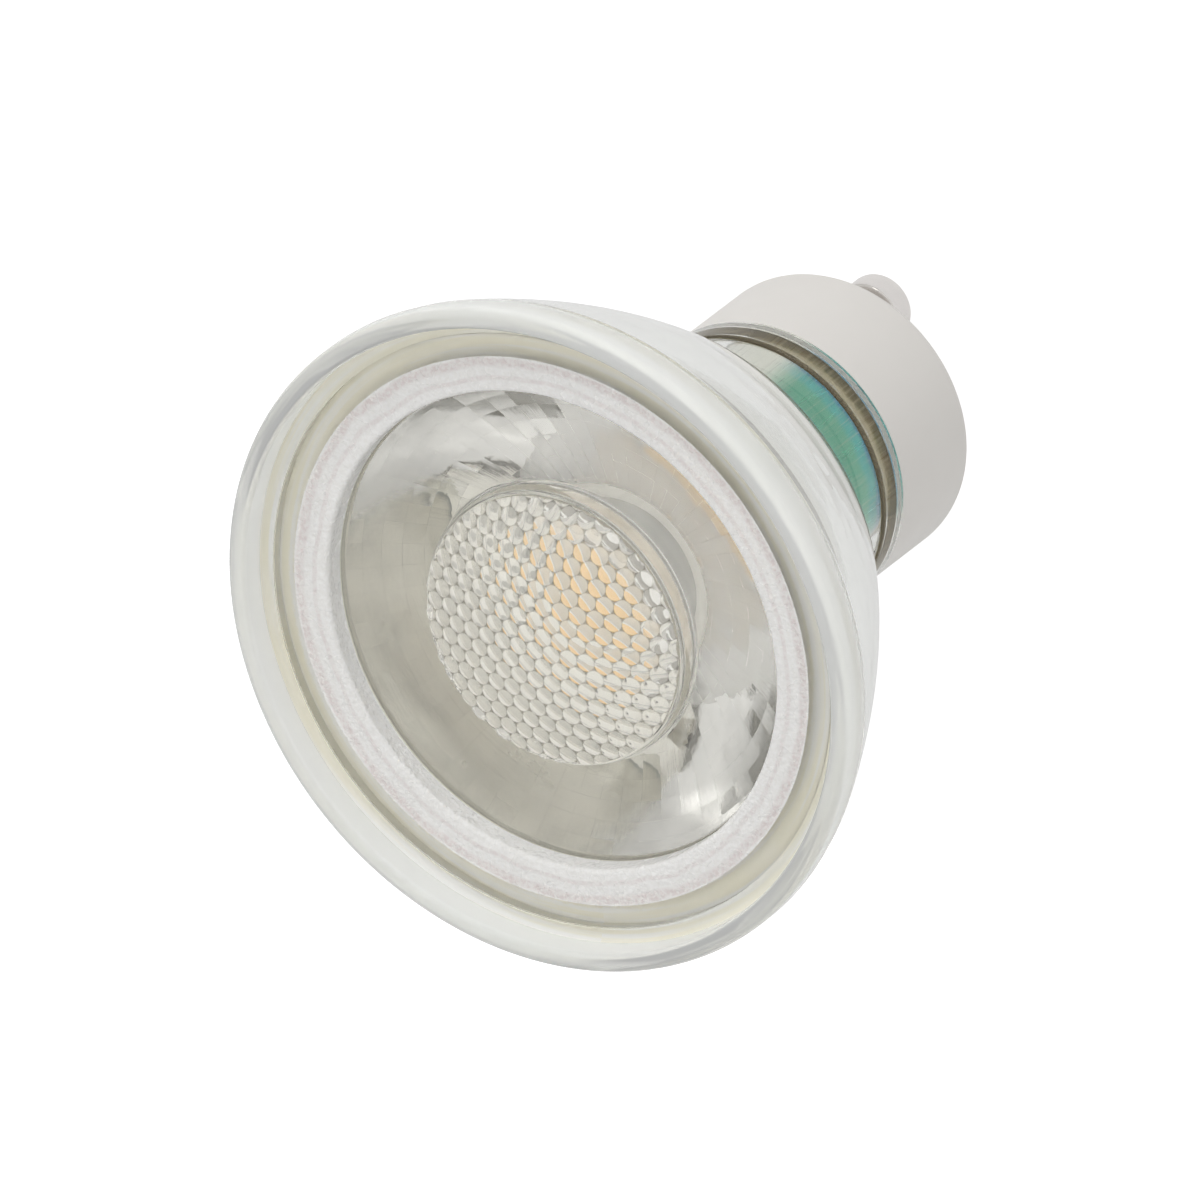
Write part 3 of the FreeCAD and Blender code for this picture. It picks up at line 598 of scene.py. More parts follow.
def shared(name):
    """The node group of this name, built on first use."""
    makers = {"About the axis": make_axis_group, "Moulded grain": make_grain_group,
              "Turning marks": make_turning_group}
    if name not in SHARED:
        SHARED[name] = makers[name]()
    return SHARED[name]


class Finish(Bench):
    """A material with one Principled shader."""

    def __init__(self, name, **values):
        self.material = bpy.data.materials.new(name)
        self.material.use_nodes = True
        super().__init__(self.material.node_tree)
        self.shader = self.tree.nodes["Principled BSDF"]
        self.output = self.tree.nodes["Material Output"]
        self.where = self.place()
        self.paint(**values)

    def paint(self, **values):
        """Give the shader's sockets values or links."""
        for key, value in values.items():
            self.feed(self.shader.inputs[key.replace("_", " ")], value)

    def grain(self, fine, coarse, share):
        """Height and mottle of a moulded surface."""
        return self.use("Moulded grain", Place=self.where, Fine_scale=fine, Coarse_scale=coarse,
                        Coarse_share=share)

    def marks(self, rings):
        """Height and mottle of a turned surface."""
        axis = self.axis()
        return self.use("Turning marks", Along=axis["Height"], Angle=axis["Angle"], Rings=rings,
                        Place=self.where)

    def use(self, name, **inputs):
        """Place a shared group and give its outputs."""
        node = self.tree.nodes.new("ShaderNodeGroup")
        node.node_tree = shared(name)
        for key, value in inputs.items():
            self.feed(node.inputs[key.replace("_", " ")], value)
        return node.outputs

    def axis(self):
        """Radius, angle and height about the axis."""
        return self.use("About the axis", Place=self.where)

    def bump(self, height, strength, distance=0.1 * MM):
        """Bump the surface by a height."""
        node = self.add("Bump", {"Height": height, "Strength": strength, "Distance": distance})
        self.tree.links.new(node.outputs[0], self.shader.inputs["Normal"])

    def absorb(self, tint, density):
        """Let thick glass turn light to a tint."""
        node = self.add("VolumeAbsorption", {"Color": tint, "Density": density})
        self.tree.links.new(node.outputs[0], self.output.inputs["Volume"])


def glass_finish(colours, name="Pressed glass", roughness=0.0, clear=1.0, glow=0.0):
    """Pressed glass, slightly uneven, olive where it is thick; clear is the share of light that passes."""
    finish = Finish(name, Roughness=roughness, IOR=1.52, Transmission_Weight=clear)
    waves, mottle = finish.noise(finish.where, 0.45, 1.0), finish.noise(finish.where, 0.12, 0.0)
    finish.paint(Base_Color=finish.mixed(mottle, colours.glass, (0.96, 0.975, 0.95)))
    # glow is painted light: the glass glows faintly, though it is no lamp
    if glow:
        finish.paint(Emission_Color=finish.mixed(mottle, (0.98, 0.97, 1.0), (1.0, 0.99, 0.97)))
        finish.paint(Emission_Strength=glow)
    bowl = finish.ranged(finish.axis()["Height"], 35.0, 38.5, 0.009, 0.0008)
    uneven = finish.maths("MULTIPLY_ADD", mottle, 1.5, waves)
    finish.bump(finish.maths("MULTIPLY", uneven, bowl), 1.0, MM)
    finish.absorb(colours.glass_tint, 5.0)
    return finish.material


def plain_lens_finish(colours, name, clear):
    """Plain moulded acrylic; clear is the share of light that passes."""
    finish = Finish(name, Roughness=0.0, IOR=1.49, Transmission_Weight=clear)
    mottle = finish.noise(finish.where, 0.2, 1.0)
    finish.paint(Base_Color=finish.mixed(mottle, colours.lens, (0.97, 0.965, 0.93)))
    finish.bump(mottle, 1.0, 0.009 * MM)
    return finish.material


def lens_finish(colours, lens, heights):
    """Clear acrylic, hardly uneven, with rows of small facets on the cone."""
    finish = Finish("Moulded acrylic", IOR=1.49, Transmission_Weight=1.0)
    grain = finish.grain(0.6, 0.2, 1.0)
    finish.paint(Base_Color=finish.mixed(grain["Mottle"], colours.lens, (0.97, 0.965, 0.93)))
    axis = finish.axis()
    around = finish.maths("MULTIPLY", axis["Angle"], lens.facet_count / (2 * math.pi))
    along = finish.maths("DIVIDE", axis["Height"], lens.facet_height / MM)
    tile = finish.point(finish.maths("FLOOR", around), finish.maths("FLOOR", along))
    random = finish.add("TexWhiteNoise", {0: tile}).outputs["Color"]
    lean = finish.add("SeparateColor", {0: random}).outputs
    tilt = finish.maths("MULTIPLY_ADD", finish.maths("SUBTRACT", lean[0], 0.5),
                        finish.maths("SUBTRACT", finish.maths("FRACT", around), 0.5),
                        finish.maths("MULTIPLY", finish.maths("SUBTRACT", lean[1], 0.5),
                                     finish.maths("SUBTRACT", finish.maths("FRACT", along), 0.5)))
    brushed = finish.point(finish.maths("MULTIPLY", around, 7.0), 0.0, finish.maths("MULTIPLY", along, 0.4))
    tilt = finish.maths("MULTIPLY_ADD", finish.noise(brushed, 1.0, 3.0), 0.05, tilt)
    top, foot = heights.trough_floor / MM, heights.foot / MM
    cone = finish.maths("MULTIPLY", finish.ranged(axis["Height"], top - 0.6, top - 0.2, 1.0, 0.0),
                        finish.ranged(axis["Radius"], foot + 0.1, foot + 0.5))
    patches = finish.ranged(finish.noise(finish.where, 0.16, 1.0), 0.42, 0.62, 0.35, 1.0)
    facets = finish.maths("MULTIPLY", tilt, finish.maths("MULTIPLY", cone, patches))
    satin = finish.maths("MULTIPLY", cone, finish.ranged(axis["Radius"], 13.0, 16.5, 0.0, 0.2))
    finish.paint(Roughness=satin)
    frost, flange = (heights.trough + lens.frost_width) / MM, heights.flange / MM
    edge = finish.maths("MULTIPLY", finish.ranged(axis["Radius"], frost, frost + 1.0, 1.0, 0.0),
                        finish.ranged(axis["Height"], flange - 0.1, flange - 0.05))
    pebbles = finish.maths("MULTIPLY", finish.noise(finish.where, 3.2, 3.0), edge)
    rough = finish.maths("MULTIPLY_ADD", pebbles, 0.06, finish.maths("MULTIPLY", grain["Height"], 0.009))
    finish.bump(finish.maths("MULTIPLY_ADD", facets, lens.facet_depth / MM, rough), 1.0, MM)
    return finish.material


def frosted_finish(lens, heights):
    """Pebbled, frosted acrylic of the flange, with a faint pink ring of coarser pebbles."""
    finish = Finish("Frosted acrylic", IOR=1.49, Transmission_Weight=0.15)
    grain = finish.grain(3.4, 0.5, 0.4)
    axis = finish.axis()
    frost = (heights.trough + lens.frost_width) / MM
    wander = finish.maths("MULTIPLY_ADD", finish.noise(finish.where, 0.25, 2.0), 0.9, axis["Radius"])
    ring = finish.maths("MULTIPLY", finish.ranged(wander, frost - 0.5, frost - 0.1),
                        finish.ranged(wander, frost + 0.2, frost + 0.5, 1.0, 0.0))
    inner = finish.maths("MULTIPLY", finish.ranged(wander, frost - 1.5, frost - 1.3),
                         finish.ranged(wander, frost - 1.15, frost - 0.95, 1.0, 0.0))
    specks = finish.noise(finish.where, 3.0, 3.0, 0.7)
    pink = finish.maths("MULTIPLY", finish.maths("MAXIMUM", ring, finish.maths("MULTIPLY", inner, 0.7)),
                        finish.ranged(specks, 0.38, 0.62, 0.25, 1.0))
    white = finish.mixed(finish.ranged(specks, 0.35, 0.65), (0.93, 0.92, 0.90), (1.0, 0.995, 0.985))
    finish.paint(Base_Color=finish.mixed(pink, white, (0.80, 0.73, 0.72)))
    finish.paint(Roughness=finish.ranged(grain["Mottle"], 0.2, 0.8, 0.2, 0.34))
    finish.bump(grain["Height"], 1.0, 0.14 * MM)
    return finish.material


def cell_finish(lens, heights):
    """Slightly milky acrylic of the small lenses, with painted shade darkening the valleys between them and
    a faint painted glow.
    """
    finish = Finish("Moulded cells", IOR=1.49, Roughness=0.03, Transmission_Weight=0.74)
    axis = finish.axis()
    boss, top = heights.boss / MM, heights.boss_top / MM
    crown = boss ** 2 / (2 * lens.dome_radius / MM)
    square = finish.maths("POWER", axis["Radius"], 2.0)
    sheet = finish.maths("MULTIPLY_ADD", square, -crown / boss ** 2, top + crown)
    over = finish.maths("SUBTRACT", axis["Height"], sheet)
    # dome is 0 in the valleys, where the darker colour mixed in below is painted shade
    dome = finish.ranged(over, 0.2 * lens.cell_rise / MM, 0.42 * lens.cell_rise / MM)
    mottle = finish.noise(finish.where, 0.9, 2.0)
    bright = finish.mixed(mottle, (1.0, 0.99, 0.95), (0.95, 0.92, 0.85))
    milky = finish.mixed(dome, (0.50, 0.48, 0.43), bright)
    # The cells' faint emission is painted light; they are no lamp
    finish.paint(Base_Color=milky, Emission_Color=milky, Emission_Strength=0.07)
    finish.bump(mottle, 0.2, 0.03 * MM)
    return finish.material


def seal_finish(colours):
    """Silicone bead, olive yellow with paler streaks round the ring."""
    finish = Finish("Yellowed silicone", Roughness=0.35)
    grain = finish.grain(1.2, 0.25, 1.0)
    axis = finish.axis()
    round_it = finish.point(finish.maths("MULTIPLY", axis["Radius"], 1.6), axis["Angle"],
                            finish.maths("MULTIPLY", axis["Height"], 0.6))
    streaks = finish.ranged(finish.noise(round_it, 1.0, 3.0), 0.42, 0.66)
    shade = finish.mixed(grain["Mottle"], colours.seal, (0.88, 0.86, 0.76))
    finish.paint(Base_Color=finish.mixed(streaks, shade, (0.90, 0.90, 0.87)))
    finish.bump(grain["Height"], 0.3, 0.1 * MM)
    return finish.material


def liner_finish(colours):
    """Bright metal with the fine rings of spinning."""
    finish = Finish("Spun aluminium", Metallic=1.0)
    marks = finish.marks(7.0)
    finish.paint(Base_Color=finish.mixed(marks["Mottle"], colours.liner, (0.88, 0.875, 0.84)))
    finish.paint(Roughness=finish.ranged(marks["Mottle"], 0.2, 0.8, 0.16, 0.28))
    finish.bump(marks["Height"], 0.25, 0.05 * MM)
    return finish.material


def sleeve_finish(colours):
    """Drawn metal with patches of thin film, green over blue, a smear of cement below and fine streaks; the
    smear glows faintly, which is painted light.
    """
    finish = Finish("Filmed metal")
    axis = finish.axis()
    ring = finish.point(finish.maths("MULTIPLY", axis["Angle"], 30.0), 0.0,
                        finish.maths("MULTIPLY", axis["Height"], 0.12))
    streaks = finish.noise(ring, 1.0, 4.0, 0.7)
    wander = finish.maths("MULTIPLY", finish.noise(ring, 0.2, 2.0), 0.8)
    height = finish.maths("ADD", axis["Height"], finish.maths("SUBTRACT", wander, 0.4))
    film = (0.74, 0.76, 0.80)
    for low, high, shade in ((10.35, 10.65, colours.film_blue), (10.8, 11.4, colours.film_teal),
                             (11.7, 12.6, colours.film_green)):
        film = finish.mixed(finish.ranged(height, low, high), film, shade)
    turn = finish.maths("WRAP", finish.maths("ADD", axis["Angle"], 1.24), -0.5 * math.pi, 0.5 * math.pi)
    patch = finish.ranged(finish.maths("ABSOLUTE", turn), 0.62, 0.95, 1.0, 0.0)
    bare = (0.80, 0.80, 0.72)
    film = finish.mixed(finish.ranged(streaks, 0.5, 0.85, 0.0, 0.45), film, bare)
    metal = finish.mixed(patch, bare, film)
    brown = finish.mixed(finish.noise(ring, 0.12, 2.0), (0.26, 0.16, 0.07), (0.13, 0.17, 0.09))
    brown = finish.mixed(finish.ranged(streaks, 0.45, 0.8), brown, (0.56, 0.48, 0.30))
    smear = finish.mixed(finish.ranged(height, 9.55, 10.1), brown, (0.40, 0.35, 0.23))
    bright = finish.ranged(height, 10.2, 10.5)
    finish.paint(Base_Color=finish.mixed(bright, smear, metal))
    # The smear's emission is painted light, for light that reaches it through the glass
    finish.paint(Emission_Color=finish.mixed(bright, smear, (0.0, 0.0, 0.0)))
    finish.paint(Emission_Strength=0.12)
    finish.paint(Metallic=finish.maths("MULTIPLY", finish.maths("MULTIPLY", bright, patch), 0.75))
    finish.paint(Roughness=finish.ranged(streaks, 0.3, 0.7, 0.24, 0.42))
    finish.bump(streaks, 0.3, 0.05 * MM)
    return finish.material


def plastic_finish(name, shade, shade_low, roughness=0.38, bump=0.12, fine=5.0, glow=0.0):
    """Moulded plastic with a fine grain and a soft mottle; glow stands for light from inside the glass."""
    finish = Finish(name)
    grain = finish.grain(fine, 0.3, 0.4)
    mottle = finish.mixed(grain["Mottle"], shade, shade_low)
    finish.paint(Base_Color=mottle)
    if glow:
        finish.paint(Emission_Color=mottle)
        finish.paint(Emission_Strength=glow)
    finish.paint(Roughness=finish.ranged(grain["Mottle"], 0.2, 0.8, roughness - 0.05, roughness + 0.07))
    finish.bump(grain["Height"], bump, 0.03 * MM)
    return finish.material


def metal_finish(name, shade, shade_low, roughness=0.25, rings=9.0):
    """Turned or plated metal with fine marks."""
    finish = Finish(name, Metallic=1.0)
    marks = finish.marks(rings)
    finish.paint(Base_Color=finish.mixed(marks["Mottle"], shade, shade_low))
    finish.paint(Roughness=finish.ranged(marks["Mottle"], 0.2, 0.8, roughness - 0.06, roughness + 0.08))
    finish.bump(marks["Height"], 0.2, 0.03 * MM)
    return finish.material


# Operators, one for each piece or group of like pieces

class BULB_OT_glass(bpy.types.Operator):
    """Model the pressed glass rim, bowl, neck and collar"""
    bl_idname = "bulb.glass"
    bl_label = "Glass envelope"

    def execute(self, context):
        scene = context.scene
        glass, base = scene.bulb_glass, scene.bulb_base
        heights = Heights(scene)
        bowl = heights.bowl
        rim = glass.rim_diameter / 2
        neck = glass.neck_diameter / 2
        bore = neck - glass.neck_wall
        collar = glass.collar_diameter / 2
        spigot = base.diameter / 2 - base.wall - glass.spigot_gap
        step = collar - neck
        collar_top = base.height + glass.collar_height
        joint, fillet_centre, neck_top = bowl.fillet(0, neck, glass.neck_fillet_outside)
        inner_joint, inner_centre, bore_top = bowl.fillet(glass.wall, bore, glass.neck_fillet_inside)
        inner_top = bowl.on_side(glass.wall, heights.ledge)
        band_bottom = (rim, glass.rim_height - glass.rim_round - glass.rim_band)
        rim_corner = (rim, glass.rim_height)
        lip_corner = (heights.lip, glass.rim_height)
        ledge_corner = (heights.lip, heights.ledge)
        outline = [(bore, glass.spigot_end), (spigot, glass.spigot_end), (spigot, base.height),
                   (collar, base.height), (collar, collar_top - step)]
        outline += swing((neck, collar_top - step), outline[-1], (neck, collar_top))
        outline += [neck_top]
        outline += swing(fillet_centre, neck_top, joint)
        outline += swing(bowl.shoulder, joint, bowl.knee(0))
        outline += swing(bowl.side, bowl.knee(0), bowl.top, SIDE_STEP)
        outline += [band_bottom]
        outline += bend(band_bottom, rim_corner, lip_corner, glass.rim_round)
        outline += bend(rim_corner, lip_corner, ledge_corner, glass.lip_round)
        outline += [ledge_corner, inner_top]
        outline += swing(bowl.side, inner_top, bowl.knee(glass.wall), SIDE_STEP)
        outline += swing(bowl.shoulder, bowl.knee(glass.wall), inner_joint)
        outline += swing(inner_centre, inner_joint, bore_top)
        piece = turned("glass_bowl", outline)
        smooth(piece)
        placed(piece, glass_finish(scene.bulb_finishes), "clear_glass", "glass_envelope")
        # The milky rim's glow of 0.03 is painted light
        divided(piece, [glass_finish(scene.bulb_finishes, "Milky rim", 0.08, 0.5, 0.03)],
                lambda reach, face: face.center.z > heights.flange
                or (reach > heights.lip + LITTLE and face.center.z > heights.ledge + MM))
        return {"FINISHED"}


class BULB_OT_lens(bpy.types.Operator):
    """Model the moulded lens with its honeycomb of small lenses"""
    bl_idname = "bulb.lens"
    bl_label = "Lens and honeycomb"

    def body(self, lens, heights):
        """Flange, sunk ring, boss, reflecting cone, foot and pocket."""
        seat = heights.ledge + lens.contact_gap
        stand = heights.board_top + lens.contact_gap
        cone_top = (heights.trough + lens.cone_land, seat)
        cone_bottom = (heights.foot, heights.foot_top)
        along = unit(cone_bottom, cone_top)
        cone_middle = ((cone_top[0] + cone_bottom[0]) / 2 + along[1] * lens.cone_bulge,
                       (cone_top[1] + cone_bottom[1]) / 2 - along[0] * lens.cone_bulge)
        pocket_top = (heights.pocket - lens.pocket_draft, heights.board_top + lens.pocket_depth)
        pocket_tip = (0.0, pocket_top[1] - lens.pocket_lens_sag)
        flange_edge = (heights.lens, heights.flange)
        ring_edge = (heights.trough, heights.flange)
        ring_corner = (heights.trough, heights.trough_floor)
        boss_corner = (heights.boss, heights.trough_floor)
        boss_edge = (heights.boss, heights.boss_top)
        middle = (0.0, heights.boss_top)
        outline = [pocket_tip]
        outline += swing(crown_centre(pocket_top, pocket_tip), pocket_tip, pocket_top, math.radians(2.5))
        outline += [(heights.pocket, stand), (heights.foot, stand), cone_bottom]
        outline += through(cone_bottom, cone_middle, cone_top)
        outline += [(heights.lens, seat), flange_edge, (heights.trough + lens.frost_width, heights.flange)]
        outline += bend(flange_edge, ring_edge, ring_corner, lens.trough_round)
        outline += bend(ring_edge, ring_corner, boss_corner, lens.trough_round)
        outline += bend(ring_corner, boss_corner, boss_edge, lens.trough_round)
        outline += bend(boss_corner, boss_edge, middle, lens.boss_round)
        outline += [middle]
        return turned("moulded_lens", outline)

    def cell(self, lens):
        """One small lens: a hexagon, poked, subdivided and raised to a dome."""
        deselect()
        corner = lens.cell_pitch / math.sqrt(3)
        bpy.ops.mesh.primitive_circle_add(vertices=6, radius=corner, fill_type="NGON")
        cell = named("cell")
        bpy.ops.object.mode_set(mode="EDIT")
        bpy.ops.mesh.poke()
        bpy.ops.mesh.subdivide(number_cuts=2)
        self.lift(cell, lens.cell_rise, corner)
        return cell

    def lift(self, piece, height, reach):
        """Raise a flat sheet to a dome by proportional editing round its middle point."""
        if bpy.context.object.mode != "OBJECT":
            bpy.ops.object.mode_set(mode="OBJECT")
        for vertex in piece.data.vertices:
            vertex.select = math.hypot(vertex.co.x, vertex.co.y) < 1e-7
        for edge in piece.data.edges:
            edge.select = False
        for face in piece.data.polygons:
            face.select = False
        bpy.ops.object.mode_set(mode="EDIT")
        bpy.ops.mesh.select_mode(type="VERT")
        bpy.ops.transform.translate(value=(0, 0, height), use_proportional_edit=True,
                                    proportional_edit_falloff="INVERSE_SQUARE", proportional_size=reach)
        bpy.ops.object.mode_set(mode="OBJECT")

    def honeycomb(self, lens, heights):
        """Rows of cells on a crown, closed below and trimmed round."""
        edge = heights.boss - lens.boss_round
        reach = edge + lens.cell_pitch / math.sqrt(3)
        rise = lens.cell_pitch * math.sqrt(3) / 2
        cell = self.cell(lens)
        rows = []
        for row in range(-math.floor(reach / rise), math.floor(reach / rise) + 1):
            across = row * rise
            half = math.sqrt(reach ** 2 - across ** 2)
            shift = 0.5 * lens.cell_pitch * (row % 2)
            first = -math.floor((half + shift) / lens.cell_pitch)
            last = math.floor((half - shift) / lens.cell_pitch)
            only(cell)
            bpy.ops.object.duplicate()
            strip = bpy.context.object
            strip.location = (first * lens.cell_pitch + shift, across, 0.0)
            repeat = strip.modifiers.new("Row", "ARRAY")
            repeat.count = last - first + 1
            repeat.use_relative_offset = False
            repeat.use_constant_offset = True
            repeat.constant_offset_displace = (lens.cell_pitch, 0.0, 0.0)
            bpy.ops.object.modifier_apply(modifier=repeat.name)
            rows.append(strip)
        bpy.data.objects.remove(cell)
        deselect()
        for strip in rows:
            strip.select_set(True)
        bpy.context.view_layer.objects.active = rows[0]
        bpy.ops.object.join()
        sheet = named("honeycomb")
        sheet.select_set(True)
        bpy.ops.object.transform_apply(location=True, rotation=True, scale=True)
        sheet.rotation_euler = (0.0, 0.0, lens.cell_turn)
        bpy.ops.object.transform_apply(location=False, rotation=True, scale=False)
        tidy_mesh(5e-6)
        crown = heights.boss ** 2 / (2 * lens.dome_radius)
        outer = reach + lens.cell_pitch
        self.lift(sheet, crown * (outer / heights.boss) ** 2, outer)
        middle = heights.boss_top - crown * ((outer / heights.boss) ** 2 - 1) + lens.contact_gap
        sheet.location = (0.0, 0.0, middle)
        bpy.ops.object.transform_apply(location=True, rotation=False, scale=False)
        bpy.ops.object.mode_set(mode="EDIT")
        bpy.ops.mesh.select_all(action="SELECT")
        root = heights.boss_top - lens.cell_root
        bpy.ops.mesh.extrude_region_move(TRANSFORM_OT_translate={"value": (0, 0, -2 * lens.boss_height)})
        bpy.ops.transform.resize(value=(1, 1, 0), center_override=(0, 0, root))
        tidy_mesh()
        top = heights.boss_top + lens.boss_height * 2
        trim = rod("trim", edge, root - lens.cell_root, top, around=AROUND)
        return combined(sheet, trim, "INTERSECT")

    def part_finishes(self, piece, colours, lens, heights):
        """Give the flange's top, the honeycomb, the foot's walls and the inner faces their own finishes."""
        steep = 0.3

        def pick(reach, face):
            height, upward = face.center.z, face.normal.z
            if (height > heights.trough_floor + 4 * LITTLE
                    and heights.trough - LITTLE < reach < heights.trough + lens.frost_width):
                return 1
            if height > heights.boss_top and reach < heights.boss - lens.boss_round and upward > steep:
                return 2
            if height < heights.board_top + lens.pocket_depth and reach < heights.foot + LITTLE:
                return 3 if abs(upward) < steep else 4
            return 4 if height > heights.trough_floor - LITTLE and reach < heights.trough + LITTLE else 0

        divided(piece, [frosted_finish(lens, heights), cell_finish(lens, heights),
                        plain_lens_finish(colours, "Satin foot", 0.35),
                        plain_lens_finish(colours, "Clear acrylic", 1.0)], pick)

    def execute(self, context):
        scene = context.scene
        lens = scene.bulb_lens
        heights = Heights(scene)
        piece = self.body(lens, heights)
        combined(piece, self.honeycomb(lens, heights), "UNION")
        tidy_mesh()
        smooth(piece, 30.0)
        placed(piece, lens_finish(scene.bulb_finishes, lens, heights), "lens_acrylic", "lens")
        self.part_finishes(piece, scene.bulb_finishes, lens, heights)
        return {"FINISHED"}


class BULB_OT_seal(bpy.types.Operator):
    """Model the silicone ring between the lens and the glass lip"""
    bl_idname = "bulb.seal"
    bl_label = "Lens seal"

    def execute(self, context):
        scene = context.scene
        lens = scene.bulb_lens
        heights = Heights(scene)
        inner = heights.lens - lens.contact_gap
        outer = heights.lip + lens.contact_gap
        low = heights.ledge - lens.contact_gap
        start = (outer, heights.flange)
        film_top = heights.ledge + 2 * lens.contact_gap
        film_low = heights.ledge - lens.film_depth
        film_inner = heights.lens - lens.film_width
        wall = heights.bowl.on_side(scene.bulb_glass.wall, heights.ledge)[0] + lens.contact_gap
        outline = [(inner, film_top), (film_inner, film_top), (film_inner + lens.film_depth / 2, film_low),
                   (wall, film_low), (wall, low), (outer, low), start]
        outline += through(start, ((inner + outer) / 2, heights.flange - lens.seal_drop),
                           (inner, heights.flange - lens.seal_drop / 2))
        piece = turned("lens_seal_bead", outline)
        smooth(piece)
        placed(piece, seal_finish(scene.bulb_finishes), "silicone", "lens_seal")
        return {"FINISHED"}


class BULB_OT_liner(bpy.types.Operator):
    """Model the spun metal liner with its holes"""
    bl_idname = "bulb.liner"
    bl_label = "Metal liner"

    def execute(self, context):
        scene = context.scene
        source = scene.bulb_source
        heights = Heights(scene)
        bowl = heights.bowl
        inside = heights.inset + source.liner_sheet
        floor_edge = (heights.floor_edge, heights.liner_floor)
        floor_corner = bowl.on_shoulder(inside, heights.liner_floor_top)
        top_outside = bowl.on_side(heights.inset, heights.liner_top)
        top_inside = bowl.on_side(inside, heights.liner_top)
        outline = [(0.0, heights.liner_floor), floor_edge]
        outline += swing(bowl.shoulder, floor_edge, bowl.knee(heights.inset))
        outline += swing(bowl.side, bowl.knee(heights.inset), top_outside, SIDE_STEP)
        outline += [top_inside]
        outline += swing(bowl.side, top_inside, bowl.knee(inside), SIDE_STEP)
        outline += swing(bowl.shoulder, bowl.knee(inside), floor_corner)
        outline += [(0.0, heights.liner_floor_top)]
        piece = turned("metal_liner", outline)
        for sign in (-1, 1):
            for hole, x, y in ((source.screw_diameter, 0.0, sign * heights.screw),
                               (source.lead_hole_diameter, sign * heights.screw, 0.0)):
                cutter = rod("hole", hole / 2, heights.liner_floor - MM, heights.liner_floor_top + MM, x, y)
                combined(piece, cutter, "DIFFERENCE")
        smooth(piece)
        placed(piece, liner_finish(scene.bulb_finishes), "liner_metal", "liner_cup")
        return {"FINISHED"}


class BULB_OT_source(bpy.types.Operator):
    """Model the phosphor and the silicone ring round it"""
    bl_idname = "bulb.source"
    bl_label = "Light source"

    def execute(self, context):
        scene = context.scene
        source, colours = scene.bulb_source, scene.bulb_finishes
        heights = Heights(scene)
        outer = source.dam_diameter / 2
        inner = outer - source.dam_width
        top = heights.board_top
        start, end = (outer, top), (inner, top + source.phosphor_height)
        outline = [(inner, top), start]
        outline += through(start, ((outer + inner) / 2, top + source.dam_height), end)
        ring = turned("silicone_dam", outline, SMALL_AROUND)
        smooth(ring)
        # The ring's glow of 0.2 is painted light, for light that reaches it through the lens
        white = plastic_finish("White silicone", (0.90, 0.89, 0.86), (0.85, 0.84, 0.79), 0.4, glow=0.2)
        placed(ring, white, "dam_silicone", "led_dam")
        edge = (inner, top + source.phosphor_height)
        tip = (0.0, edge[1] + source.phosphor_crown)
        outline = [(0.0, top), (inner, top), edge]
        outline += swing(crown_centre(edge, tip), edge, tip, math.radians(0.4))
        disc = turned("phosphor_disc", outline, SMALL_AROUND)
        smooth(disc)
        finish = Finish("Phosphor", Roughness=0.45)
        grain = finish.grain(7.0, 0.8, 0.3)
        finish.paint(Base_Color=finish.mixed(grain["Mottle"], colours.phosphor, (0.98, 0.70, 0.28)))
        # The phosphor's orange emission is painted light; the bulb is not lit
        finish.paint(Emission_Color=finish.mixed(grain["Mottle"], (1.0, 0.50, 0.08), (1.0, 0.62, 0.16)))
        finish.paint(Emission_Strength=0.15)
        finish.bump(grain["Height"], 0.2, 0.03 * MM)
        placed(disc, finish.material, "phosphor", "led_phosphor")
        return {"FINISHED"}


class BULB_OT_sleeve(bpy.types.Operator):
    """Model the filmed metal sleeve in the neck"""
    bl_idname = "bulb.sleeve"
    bl_label = "Driver sleeve"

    def execute(self, context):
        scene = context.scene
        glass, neck = scene.bulb_glass, scene.bulb_neck
        outer = glass.neck_diameter / 2 - glass.neck_wall - neck.sleeve_gap
        inner = outer - neck.sleeve_wall
        lip = neck.sleeve_wall * 0.3
        bottom, top = neck.sleeve_bottom, neck.sleeve_top
        outline = [(inner, bottom), (outer, bottom)]
        outline += bend((outer, bottom), (outer, top), (inner, top), lip)
        outline += bend((outer, top), (inner, top), (inner, bottom), lip)
        piece = turned("filmed_sleeve", outline)
        smooth(piece)
        placed(piece, sleeve_finish(scene.bulb_finishes), "sleeve_metal", "driver_sleeve")
        return {"FINISHED"}


